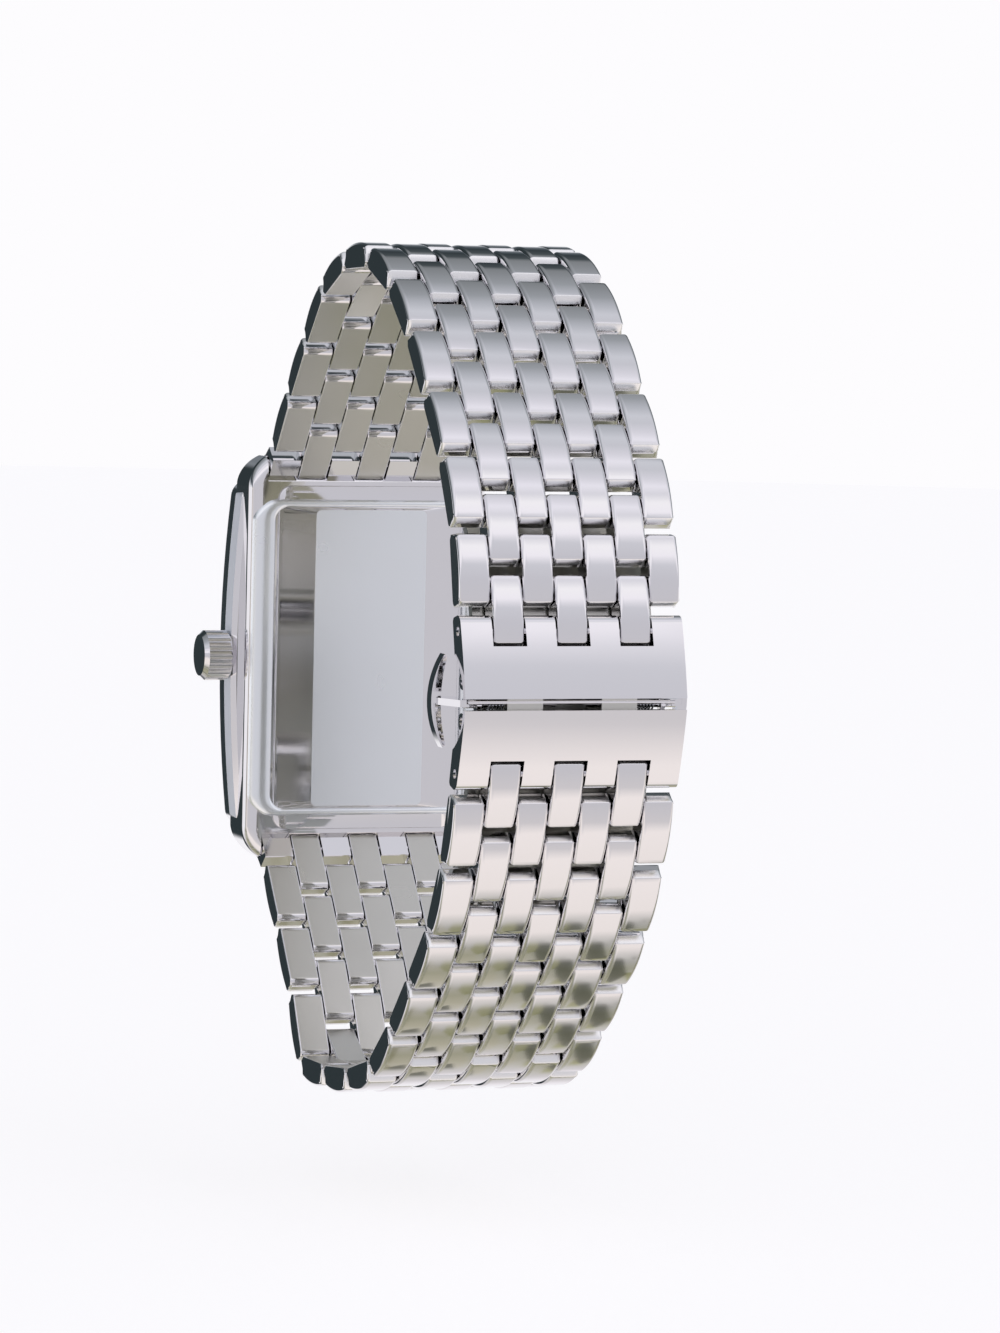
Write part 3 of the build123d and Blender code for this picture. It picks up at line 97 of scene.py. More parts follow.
def add_node(
    tree: bpy.types.NodeTree,
    kind: str,
    settings: dict[str, object] | None = None,
    inputs: dict[str | int, object] | None = None,
) -> bpy.types.Node:
    """Add one node with its settings, socket values and links.

    Args:
        tree: The node tree.
        kind: The node's type without the word Shader Node before it.
        settings: Properties of the node.
        inputs: Socket name or number to a value, or to an output socket that is linked.

    Returns:
        The new node.
    """
    node = tree.nodes.new("ShaderNode" + kind)
    for name, value in (settings or {}).items():
        setattr(node, name, value)
    for name, value in (inputs or {}).items():
        if isinstance(value, bpy.types.NodeSocket):
            tree.links.new(value, node.inputs[name])
        else:
            node.inputs[name].default_value = value
    return node


def set_ramp(node: bpy.types.Node, stops: Sequence[tuple[float, str]]) -> bpy.types.Node:
    """Give a colour ramp its stops.

    Args:
        node: A colour ramp node.
        stops: Places from 0 to 1 with sRGB hex colours.

    Returns:
        The same node.
    """
    elements = node.color_ramp.elements
    while len(elements) < len(stops):
        elements.new(0.5)
    for element, (place, colour) in zip(elements, stops):
        element.position = place
        element.color = linear(colour)
    return node


def new_material(name: str) -> tuple[bpy.types.Material, bpy.types.NodeTree, bpy.types.Node]:
    """Make an empty material with its principled shader.

    Args:
        name: What the material is.

    Returns:
        The material, its tree and the shader node.
    """
    material = bpy.data.materials.new(name)
    material.use_nodes = True
    tree = material.node_tree
    return material, tree, tree.nodes["Principled BSDF"]


@dataclass(frozen=True)
class Steel:
    """Stainless steel, polished or brushed.

    A polished face mirrors the room with a faint haze from fine wiping scratches. A brushed face has parallel
    grain that spreads the light across it.
    """

    # size of the hazy clouds that wiping leaves
    cloud_mm: ClassVar[float] = 4.0

    name: str
    colour: str
    roughness: float
    haze: float = 0.05
    scratch_mm: float = 0.35
    scratch_depth: float = 0.04
    grain: tuple[float, float, float] = (1.0, 1.0, 1.0)
    anisotropic: float = 0.0

    def material(self) -> bpy.types.Material:
        """Build the metal with its haze, grain and scratches.

        Returns:
            The new material.
        """
        material, tree, shader = new_material(self.name)
        shader.inputs["Base Color"].default_value = linear(self.colour)
        shader.inputs["Metallic"].default_value = 1.0
        shader.inputs["Anisotropic"].default_value = self.anisotropic
        place = add_node(tree, "TexCoord").outputs["Object"]
        grain = add_node(tree, "Mapping", inputs={"Vector": place, "Scale": self.grain}).outputs["Vector"]
        cloud = add_node(
            tree,
            "TexNoise",
            inputs={"Vector": place, "Scale": 1 / (self.cloud_mm * MM), "Detail": 1.0, "Roughness": 0.5},
        )
        lines = add_node(
            tree,
            "TexNoise",
            inputs={"Vector": grain, "Scale": 1 / (self.scratch_mm * MM), "Detail": 4.0, "Roughness": 0.7},
        )
        spread = add_node(
            tree,
            "MapRange",
            inputs={
                "Value": cloud.outputs["Fac"],
                "From Min": 0.2,
                "From Max": 0.8,
                "To Min": self.roughness,
                "To Max": self.roughness + self.haze,
            },
        )
        tree.links.new(spread.outputs["Result"], shader.inputs["Roughness"])
        bump = add_node(
            tree,
            "Bump",
            inputs={"Strength": self.scratch_depth, "Distance": GRAIN_HEIGHT, "Height": lines.outputs["Fac"]},
        )
        tree.links.new(bump.outputs["Normal"], shader.inputs["Normal"])
        return material


@dataclass(frozen=True)
class Solid:
    """A plain substance with a fine mottled surface, such as rubber, lacquer or a moulding."""

    name: str
    colour: str
    shade: str
    roughness: float
    metallic: float = 0.0
    coat: float = 0.0
    mottle_mm: float = 0.4
    depth: float = 0.1

    def material(self) -> bpy.types.Material:
        """Build the substance with its mottling.

        Returns:
            The new material.
        """
        material, tree, shader = new_material(self.name)
        shader.inputs["Metallic"].default_value = self.metallic
        shader.inputs["Roughness"].default_value = self.roughness
        shader.inputs["Coat Weight"].default_value = self.coat
        place = add_node(tree, "TexCoord").outputs["Object"]
        mottle = add_node(
            tree,
            "TexNoise",
            inputs={"Vector": place, "Scale": 1 / (self.mottle_mm * MM), "Detail": 4.0},
        )
        ramp = set_ramp(
            add_node(tree, "ValToRGB", inputs={"Fac": mottle.outputs["Fac"]}),
            ((0.35, self.shade), (0.65, self.colour)),
        )
        tree.links.new(ramp.outputs["Color"], shader.inputs["Base Color"])
        bump = add_node(
            tree,
            "Bump",
            inputs={"Strength": self.depth, "Distance": GRAIN_HEIGHT, "Height": mottle.outputs["Fac"]},
        )
        tree.links.new(bump.outputs["Normal"], shader.inputs["Normal"])
        return material


@dataclass(frozen=True)
class Sunray:
    """Silvered dial, brushed in fine rays from its middle so that light fans across it."""

    name: str
    colour: str
    shade: str
    roughness: float = 0.34
    metallic: float = 0.25
    coat: float = 0.3
    rays: float = 90.0
    depth: float = 0.05

    def material(self) -> bpy.types.Material:
        """Build the brushed dial.

        Returns:
            The new material.
        """
        material, tree, shader = new_material(self.name)
        shader.inputs["Metallic"].default_value = self.metallic
        shader.inputs["Roughness"].default_value = self.roughness
        shader.inputs["Coat Weight"].default_value = self.coat
        place = add_node(tree, "TexCoord").outputs["Object"]
        parts = add_node(tree, "SeparateXYZ", inputs={"Vector": place})
        angle = add_node(
            tree, "Math", {"operation": "ARCTAN2"}, {0: parts.outputs["X"], 1: parts.outputs["Z"]}
        )
        rays = add_node(
            tree, "TexNoise", {"noise_dimensions": "1D"}, {"W": angle.outputs["Value"], "Scale": self.rays}
        )
        ramp = set_ramp(
            add_node(tree, "ValToRGB", inputs={"Fac": rays.outputs["Fac"]}),
            ((0.3, self.shade), (0.7, self.colour)),
        )
        tree.links.new(ramp.outputs["Color"], shader.inputs["Base Color"])
        bump = add_node(
            tree,
            "Bump",
            inputs={"Strength": self.depth, "Distance": RAY_HEIGHT, "Height": rays.outputs["Fac"]},
        )
        tree.links.new(bump.outputs["Normal"], shader.inputs["Normal"])
        return material


@dataclass(frozen=True)
class Glass:
    """Clear mineral glass, ground flat and polished."""

    name: str = "mineral_glass"
    colour: str = "FBFDFD"
    ior: float = 1.5

    def material(self) -> bpy.types.Material:
        """Build the glass.

        Returns:
            The new material.
        """
        material, _, shader = new_material(self.name)
        shader.inputs["Base Color"].default_value = linear(self.colour)
        shader.inputs["Roughness"].default_value = 0.0
        shader.inputs["IOR"].default_value = self.ior
        shader.inputs["Transmission Weight"].default_value = 1.0
        return material


class Finish(Enum):
    """Every finish of the watch."""

    # mirror-bright links, case and clasp covers that carry the room's light in bands
    POLISHED = Steel("polished_stainless_steel", "F0EFF1", 0.03, 0.03, 0.2, 0.006)
    # the case back's panel and bead: a pale, even sheen with faint grain from side to side
    SATIN = Steel("satin_stainless_steel", "F8FCFF", 0.24, 0.04, 0.35, 0.012, (0.05, 1.0, 1.0), 0.4)
    # faces toward the wrist: duller and a little warmer, with soft blurred reflections
    INNER = Steel("tumbled_stainless_steel", "D6D5CF", 0.26, 0.08, 0.3, 0.03)
    # slanted link ends, rubbed softer than the tops, with a pure white base colour brighter than the polished
    # tops' that paints a highlight band at the foot of each link
    END = Steel("softened_end_steel_with_painted_highlight", "FFFFFF", 0.27, 0.05, 0.2, 0.01)
    # the bowed flank, brushed along its length: a broad cool light band
    FLANK = Steel("brushed_flank_steel", "EEF2F9", 0.5, 0.06, 0.1, 0.1, (1.0, 1.0, 0.05), 0.6)
    # drawn pins and springs: plain grey with a narrow highlight
    WIRE = Steel("spring_steel", "A9ABB0", 0.2)
    # movement plates: warm grey with a frosted sheen
    NICKEL = Steel("nickel_plated_brass", "CFCBC2", 0.22, 0.05, 0.2, 0.2)
    # wheels: yellow and bright at the teeth
    BRASS = Steel("gilt_brass", "D6AE5C", 0.2, 0.05, 0.2, 0.15)
    # the coil: ridged orange windings
    COPPER = Steel("enamelled_copper_wire", "B86A3C", 0.25, 0.05, 0.1, 0.5, (12.0, 1.0, 1.0))
    # the dial: near white, with rays that shift from the middle
    DIAL = Sunray("silvered_sunray_dial", "FCFAF6", "EDEBE5")
    # the case back's gasket: matt black
    RUBBER = Solid("nitrile_rubber", "151516", "0D0D0E", 0.6)
    # moulded rings round the movement and under the crystal: matt off-white
    HOLDER = Solid("moulded_white_acetal", "DEDDD8", "D6D5CF", 0.45)
    # lacquered board: dark green with a thin gloss
    CIRCUIT = Solid("green_circuit_board", "1E5B38", "174A2D", 0.4, 0.0, 0.3)
    # flat crystal: clear, with a sharp reflection at a slant
    GLASS = Glass()


class Workshop:
    """Makes each finish once and turns meshes into pieces."""

    def __init__(self) -> None:
        """Start with no finish made."""
        self.made: dict[Finish, bpy.types.Material] = {}

    def finish(self, finish: Finish) -> bpy.types.Material:
        """Material of a finish, made on first use."""
        if finish not in self.made:
            self.made[finish] = finish.value.material()
        return self.made[finish]

    def dress(self, node: bpy.types.Object, finish: Finish) -> None:
        """Give a frame node its finish."""
        node.data.materials.clear()
        node.data.materials.append(self.finish(finish))

    def dress_faces(
        self, node: bpy.types.Object, finish: Finish, chosen: Callable[[Vector, Vector], bool]
    ) -> None:
        """Give some faces of a frame node a second finish.

        Args:
            node: The frame node, which already has its main finish.
            finish: The finish of the chosen faces.
            chosen: Whether a face with this normal and middle, in metres, is chosen.
        """
        node.data.materials.append(self.finish(finish))
        second = len(node.data.materials) - 1
        for face in node.data.polygons:
            if chosen(node.matrix_world.to_3x3() @ face.normal, node.matrix_world @ face.center):
                face.material_index = second

    def piece(
        self,
        name: str,
        mesh: bmesh.types.BMesh,
        finishes: Sequence[Finish],
        body: str,
        replaced: Sequence[str] = (),
    ) -> bpy.types.Object:
        """Turn a mesh into a piece that rides a body.

        Args:
            name: Name of the piece.
            mesh: Its mesh in the frame's metres, which is freed.
            finishes: Its finishes, in the order of the faces' material numbers.
            body: The body it moves with.
            replaced: Frame nodes that it stands for.

        Returns:
            The new object.
        """
        data = bpy.data.meshes.new(name)
        mesh.to_mesh(data)
        mesh.free()
        data.shade_smooth()
        for finish in finishes:
            data.materials.append(self.finish(finish))
        piece = bpy.data.objects.new(name, data)
        bpy.context.scene.collection.objects.link(piece)
        piece.modifiers.new("even faces", "WEIGHTED_NORMAL").keep_sharp = True
        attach(piece, body)
        if replaced:
            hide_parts(*replaced)
        log.info("piece %s: %d faces on %s", name, len(data.polygons), body)
        return piece


@dataclass
class Loop:
    """The closed bracelet's pins, worked out as the solids are."""

    pitch: float = 3.535
    start_y: float = -1.2
    start_z: float = 18.27
    depth_share: float = 0.704
    seam_lift: float = 0.65
    last_pin_along: float = 6.05
    cover_tilt: float = 15.0
    end_tilt: float = 141.0
    closing_rounds: int = 12
    closing_step: float = 0.01
    headings: dict[Side, tuple[float, ...]] = field(
        default_factory=lambda: {
            Side.TWELVE: (12.8, 31, 43.5, 44.5, 53.5, 71, 93, 112.5, 133.5, 136.5, 139.5),
            Side.SIX: (18.7, 31, 46, 48, 53.5, 75.5, 84, 88, 149, 139.5, 138.5),
        }
    )

    def angles(self, side: Side) -> list[float]:
        """Angle of every row from the case to the clasp, before the loop is closed.

        Args:
            side: Half of the bracelet.

        Returns:
            Degrees from the case's plane.
        """
        fours = [self.cover_tilt, *self.headings[side], self.end_tilt]
        angles: list[float] = []
        for upper in range(len(fours) - 2, 0, -1):
            angles += [(fours[upper] + fours[upper + 1]) / 2, fours[upper]]
        return [*angles, (fours[0] + fours[1]) / 2]

    def walk(self, side: Side, lean: float, sway: float) -> list[Vector]:
        """Pin centres (y, z) in millimetres from the case to the clasp.

        Args:
            side: Half of the bracelet.
            lean: Degrees added most to the middle rows.
            sway: Degrees added to the rows near the case and taken from the rows near the clasp.

        Returns:
            The pins' centres.
        """
        angles = self.angles(side)
        pins = [Vector((self.start_y, side.value * self.start_z))]
        for index, angle in enumerate(angles):
            place = (index + 0.5) / len(angles)
            turn = angle + lean * math.sin(math.pi * place) + sway * math.sin(2 * math.pi * place)
            step = Vector((math.sin(math.radians(turn)), -side.value * math.cos(math.radians(turn))))
            pins.append(pins[-1] + self.pitch * step)
        return pins

    def pins(self, side: Side) -> list[Vector]:
        """Pin centres (y, z) in millimetres of one closed half, from the case to the clasp.

        Args:
            side: Half of the bracelet.

        Returns:
            The pins' centres, the last of them on the clasp cover's pin.
        """
        rows = 2 * len(self.headings[side]) + 1
        goal = Vector(
            (
                self.start_y + self.depth_share * rows * self.pitch,
                self.seam_lift + side.value * self.last_pin_along,
            )
        )
        lean, sway, step = 0.0, 0.0, self.closing_step
        for _ in range(self.closing_rounds):
            miss = self.walk(side, lean, sway)[-1] - goal
            by_lean = (self.walk(side, lean + step, sway)[-1] - goal - miss) / step
            by_sway = (self.walk(side, lean, sway + step)[-1] - goal - miss) / step
            spread = by_lean.x * by_sway.y - by_sway.x * by_lean.y
            lean, sway = (
                lean - (miss.x * by_sway.y - by_sway.x * miss.y) / spread,
                sway - (by_lean.x * miss.y - miss.x * by_lean.y) / spread,
            )
        return self.walk(side, lean, sway)


def arc(
    centre: tuple[float, float], radius: float, start: float, end: float, steps: int
) -> list[tuple[float, float]]:
    """Points of an arc, both ends included.

    Args:
        centre: Middle of the arc.
        radius: Its radius.
        start: First angle in degrees.
        end: Last angle in degrees.
        steps: Number of parts.

    Returns:
        One point more than the parts.
    """
    turns = [math.radians(start + (end - start) * step / steps) for step in range(steps + 1)]
    return [(centre[0] + radius * math.cos(turn), centre[1] + radius * math.sin(turn)) for turn in turns]


def sine(degrees: float) -> float:
    """Sine of an angle in degrees."""
    return math.sin(math.radians(degrees))


def toward(point: tuple[float, float], distance: float, degrees: float) -> tuple[float, float]:
    """Point at a distance along an angle in degrees."""
    return point[0] + distance * sine(90 - degrees), point[1] + distance * sine(degrees)


def extruded(outline: Sequence[tuple[float, float]], low: float, high: float) -> bmesh.types.BMesh:
    """Prism along X from a side outline (y, z).

    Args:
        outline: Corners of the outline in order.
        low: Lowest X.
        high: Highest X.

    Returns:
        A closed mesh.
    """
    mesh = bmesh.new()
    near = [mesh.verts.new((low, y, z)) for y, z in outline]
    far = [mesh.verts.new((high, y, z)) for y, z in outline]
    mesh.faces.new(near)
    mesh.faces.new(list(reversed(far)))
    for index, vertex in enumerate(near):
        following = (index + 1) % len(near)
        mesh.faces.new((near[following], vertex, far[index], far[following]))
    bmesh.ops.recalc_face_normals(mesh, faces=mesh.faces)
    return mesh


def rounded_frame(
    half_width: float, half_height: float, corner: float, steps: int
) -> list[tuple[float, float]]:
    """Rectangle with round corners.

    Args:
        half_width: Half its width along X.
        half_height: Half its height along Z.
        corner: Radius of its corners.
        steps: Parts of each corner.

    Returns:
        Points (x, z), anticlockwise from the right.
    """
    points: list[tuple[float, float]] = []
    for quarter, (across, up) in enumerate(((1, 1), (-1, 1), (-1, -1), (1, -1))):
        middle = (across * (half_width - corner), up * (half_height - corner))
        points += arc(middle, corner, 90 * quarter, 90 * (quarter + 1), steps)
    return points


def lofted(
    sections: Sequence[tuple[float, float, float, float]], steps: int, capped: bool
) -> bmesh.types.BMesh:
    """Skin over level frames.

    Args:
        sections: Half width, half height, corner radius and Y of each frame, in millimetres.
        steps: Parts of each round corner.
        capped: Whether the first and last frames are filled.

    Returns:
        The skin, with the last frame's face as material 1.
    """
    mesh = bmesh.new()
    rings = [
        [mesh.verts.new((x * MM, y * MM, z * MM)) for x, z in rounded_frame(width, height, corner, steps)]
        for width, height, corner, y in sections
    ]
    for below, above in zip(rings, rings[1:]):
        for index in range(len(below)):
            following = (index + 1) % len(below)
            mesh.faces.new((below[index], below[following], above[following], above[index]))
    if capped:
        mesh.faces.new(rings[0])
        mesh.faces.new(list(reversed(rings[-1]))).material_index = 1
    bmesh.ops.recalc_face_normals(mesh, faces=mesh.faces)
    return mesh


def add_copy(target: bmesh.types.BMesh, source: bmesh.types.BMesh, place: Matrix) -> None:
    """Add a moved copy of one mesh to another.

    Args:
        target: The mesh that grows.
        source: The mesh that is copied, with up-to-date vertex numbers.
        place: Where the copy goes.
    """
    moved = [target.verts.new(place @ vertex.co) for vertex in source.verts]
    for face in source.faces:
        copy = target.faces.new([moved[vertex.index] for vertex in face.verts])
        copy.material_index = face.material_index


@dataclass
class Bracelet:
    """Seven columns of solid links in rows of three and four, turning on straight pins."""

    loop: Loop = field(default_factory=Loop)
    width: float = 20.0
    columns: int = 7
    column_gap: float = 0.08
    overhang: float = 1.37
    crown: float = 1.2
    shoulder: float = 0.74
    shoulder_round: float = 0.16
    shoulder_turn: float = 50.0
    facet_round: float = 2.6
    facet_turn: float = 15.0
    end_round: float = 0.42
    # parts of the shoulder, facet and nose curves, of the inner corner and of the crest
    curve_steps: tuple[int, int, int] = (5, 4, 5)
    inner_steps: int = 6
    crest_steps: int = 16
    fitting_rounds: int = 8
    depth: float = 1.15
    inner_round: float = 0.6
    # width and parts of the rounded rims
    rim: float = 0.4
    rim_steps: int = 6
    inner_rim: float = 0.12
    inner_rim_steps: int = 2
    # how squarely a face looks along an axis to count as inner or side, slanted end, and nose
    inner_facing: float = 0.97
    end_facing: float = 0.6
    nose_facing: float = 0.985
    pin_radius: float = 0.4
    pin_recess: float = 0.25
    pin_dome: float = 0.1
    pin_steps: int = 24
    cap_angle: float = 60.0
    rows: int = 12

    def outline(self) -> list[tuple[float, float]]:
        """Side outline of a link: flat inside, crowned outside, with tight shoulders and slack ends.

        Returns:
            Points (y, z) in millimetres, with Y along the link and its outer face up.
        """
        half = self.loop.pitch / 2 + self.overhang
        rise = self.crown - self.shoulder
        radius = (half**2 + rise**2) / (2 * rise)
        rounds = (self.shoulder_round, self.facet_round, self.end_round)
        curves = tuple(zip(rounds, (self.shoulder_turn, self.facet_turn, 90.0), self.curve_steps))
        # how far the shoulder, the slanted facet and the nose reach past the crown's arc
        reach, lean = half, 0.0
        for _ in range(self.fitting_rounds):
            lean = math.degrees(math.asin(reach / radius))
            turned, past = lean, 0.0
            for size, turn, _ in curves:
                end = min(turned + turn, 90.0)
                past += size * (sine(end) - sine(turned))
                turned = end
            reach = half - past
        point = (reach, self.crown - radius + radius * sine(90 - lean))
        low = self.inner_round - self.depth
        right, turned = [point], lean
        for size, turn, steps in curves:
            end = min(turned + turn, 90.0)
            middle = toward(point, -size, 90 - turned)
            right += arc(middle, size, 90 - turned, 90 - end, steps)[1:]
            point, turned = right[-1], end
        right += arc((half - self.inner_round, low), self.inner_round, 0, -90, self.inner_steps)
        left = [(-y, z) for y, z in reversed(right)]
        crest = arc((0, self.crown - radius), radius, 90 + lean, 90 - lean, self.crest_steps)
        return [*right, *left, *crest[1:-1]]

    def link(self) -> bmesh.types.BMesh:
        """One link with softened rims.

        Returns:
            Its mesh in metres, along Y with its outer face up. The inner face is material 1 and the slanted
            end is material 2.
        """
        half = ((self.width / self.columns) - self.column_gap) / 2
        mesh = extruded([(y * MM, z * MM) for y, z in self.outline()], -half * MM, half * MM)
        low = (self.inner_round - self.depth) * MM
        for width, outer, segments in (
            (self.rim, True, self.rim_steps),
            (self.inner_rim, False, self.inner_rim_steps),
        ):
            rims = [
                edge
                for edge in mesh.edges
                if len(edge.link_faces) == 2
                and any(abs(face.normal.x) > self.inner_facing for face in edge.link_faces)
                and any(abs(face.normal.x) < 1 - self.inner_facing for face in edge.link_faces)
                and ((edge.verts[0].co.z + edge.verts[1].co.z) / 2 > low) == outer
            ]
            bmesh.ops.bevel(
                mesh,
                geom=rims,
                offset=width * MM,
                offset_type="OFFSET",
                segments=segments,
                profile=0.5,
                affect="EDGES",
            )
            mesh.normal_update()
        for face in mesh.faces:
            if face.normal.z < -self.inner_facing:
                face.material_index = 1
            # the slanted facets take the end steel, whose white base colour paints a bright highlight band on
            # them
            elif self.end_facing < face.normal.y < self.nose_facing and face.normal.z > 0:
                face.material_index = 2
        mesh.verts.index_update()
        return mesh

    def pin(self) -> bmesh.types.BMesh:
        """One straight pin with domed ends.

        Returns:
            Its mesh in metres, along X.
        """
        half = self.width / 2 - self.pin_recess
        mesh = bmesh.new()
        bmesh.ops.create_cone(
            mesh,
            cap_ends=True,
            segments=self.pin_steps,
            radius1=self.pin_radius * MM,
            radius2=self.pin_radius * MM,
            depth=2 * half * MM,
            matrix=Matrix.Rotation(math.pi / 2, 4, "Y"),
        )
        caps = [edge for edge in mesh.edges if edge.calc_face_angle(0) > math.radians(self.cap_angle)]
        bmesh.ops.bevel(mesh, geom=caps, offset=self.pin_dome * MM, segments=2, profile=0.5, affect="EDGES")
        mesh.verts.index_update()
        return mesh

    def place(self, side: Side, start: Vector, end: Vector, column: int) -> Matrix:
        """Where a link lies: its own Y from one pin to the next and its Z out of the loop.

        Args:
            side: Half of the bracelet.
            start: Its pin nearer the case, as (y, z) in millimetres.
            end: Its pin nearer the clasp.
            column: Its column from 0 at the lowest X.

        Returns:
            The placing matrix, in metres.
        """
        along = (end - start).normalized()
        out = Vector((0.0, -side.value * along.y, side.value * along.x))
        middle = (start + end) / 2 * MM
        turn = Matrix((Vector((1, 0, 0)), Vector((0, along.x, along.y)), out)).transposed()
        if turn.determinant() < 0:
            turn = turn @ Matrix.Diagonal((-1, 1, 1))
        x = (column - (self.columns - 1) / 2) * self.width / self.columns * MM
        return Matrix.Translation((x, middle.x, middle.y)) @ turn.to_4x4()

    def build(self, workshop: Workshop) -> None:
        """Build every row and its pins in place of the frame's rows.

        Args:
            workshop: Makes the pieces.
        """
        link, pin = self.link(), self.pin()
        for side in Side:
            pins = self.loop.pins(side)
            for number in range(self.rows):
                first = 2 * (self.rows - 1 - number)
                row, rods = bmesh.new(), bmesh.new()
                for column in range(1, self.columns, 2):
                    add_copy(row, link, self.place(side, pins[first], pins[first + 1], column))
                if number > 0:
                    for column in range(0, self.columns, 2):
                        add_copy(row, link, self.place(side, pins[first + 1], pins[first + 2], column))
                    for middle in pins[first + 1 : first + 3]:
                        add_copy(rods, pin, Matrix.Translation((0, middle.x * MM, middle.y * MM)))
                tag = f"{side.tag}_{number + 1:02d}"
                # rows turn in pairs: 1 with 2, 3 with 4 and so on
                lower = number - number % 2 + 1
                body = f"rows_{side.tag}_{lower:02d}_{lower + 1:02d}"
                node = f"bracelet_{side.tag}_row_{number + 1:02d}"
                workshop.piece(f"links_{tag}", row, (Finish.POLISHED, Finish.INNER, Finish.END), body, [node])
                if number > 0:
                    workshop.piece(f"link_pins_{tag}", rods, (Finish.WIRE,), body, [node])
                else:
                    rods.free()
        link.free()
        pin.free()


@dataclass
class Seam:
    """The clasp's bright stem cover, seen in the gap between the two covers."""

    seam_y: float = 58.44
    depth: float = 1.25
    thickness: float = 0.12
    half_length: float = 9.3
    lift: float = 0.78
    half_height: float = 0.2

    def build(self, workshop: Workshop) -> None:
        """Build the strip on the centre plate.

        Args:
            workshop: Makes the piece.
        """
        y = self.seam_y - self.depth
        outline = [
            (y * MM, (self.lift - self.half_height) * MM),
            ((y + self.thickness) * MM, (self.lift - self.half_height / 2) * MM),
            ((y + self.thickness) * MM, (self.lift + self.half_height / 2) * MM),
            (y * MM, (self.lift + self.half_height) * MM),
            ((y - self.thickness) * MM, self.lift * MM),
        ]
        strip = extruded(outline, -self.half_length * MM, self.half_length * MM)
        workshop.piece("stem_cover", strip, (Finish.POLISHED,), "centre_plate")


@dataclass
class CaseBack:
    """Case back: a satin panel between sloping polished borders, inside the middle case's rounded bead."""

    half_width: float = 8.98
    half_height: float = 16.2
    corner: float = 1.3
    panel_half_width: float = 5.45
    panel_half_height: float = 13.95
    panel_corner: float = 0.5
    slope_inset: float = 0.5
    slope_half_height: float = 14.3
    border_fall: float = 0.5
    edge_round: float = 0.06
    bottom: float = -0.75
    bead_half_width: float = 11.55
    bead_half_height: float = 15.1
    bead_inner_width: float = 9.2
    bead_inner_height: float = 14.2
    bead_corner: float = 2.2
    # place across the bead from its outer edge, and its Y
    bead: tuple[tuple[float, float], ...] = (
        (0.0, -1.7),
        (0.04, -1.15),
        (0.12, -0.72),
        (0.24, -0.42),
        (0.36, -0.28),
        (0.5, -0.22),
        (0.68, -0.2),
        (0.82, -0.23),
        (0.9, -0.32),
        (0.96, -0.52),
        (1.0, -0.9),
    )
    corner_steps: int = 10

    def build(self, workshop: Workshop) -> None:
        """Build the plate in place of the frame's case back, and the bead on the case.

        Args:
            workshop: Makes the pieces.
        """
        panel = (self.panel_half_width, self.panel_half_height, self.panel_corner)
        width, height, corner = self.half_width, self.half_height, self.corner
        plate = lofted(
            (
                (width, height, corner, self.bottom),
                (width, height, corner, -self.border_fall - self.edge_round),
                (width - self.edge_round, height - self.edge_round, corner, -self.border_fall),
                (
                    width - self.slope_inset,
                    self.slope_half_height,
                    corner - self.slope_inset,
                    -self.border_fall,
                ),
                (panel[0] + self.edge_round, panel[1] + self.edge_round, panel[2], -self.edge_round / 4),
                (*panel, 0.0),
            ),
            self.corner_steps,
            True,
        )
        workshop.piece("back_plate", plate, (Finish.POLISHED, Finish.SATIN), "case", ["case_back"])
        bead = lofted(
            [
                (
                    self.bead_half_width + share * (self.bead_inner_width - self.bead_half_width),
                    self.bead_half_height + share * (self.bead_inner_height - self.bead_half_height),
                    self.bead_corner + share * (corner - self.bead_corner),
                    y,
                )
                for share, y in self.bead
            ],
            self.corner_steps,
            False,
        )
        workshop.piece("back_bead", bead, (Finish.SATIN,), "case")


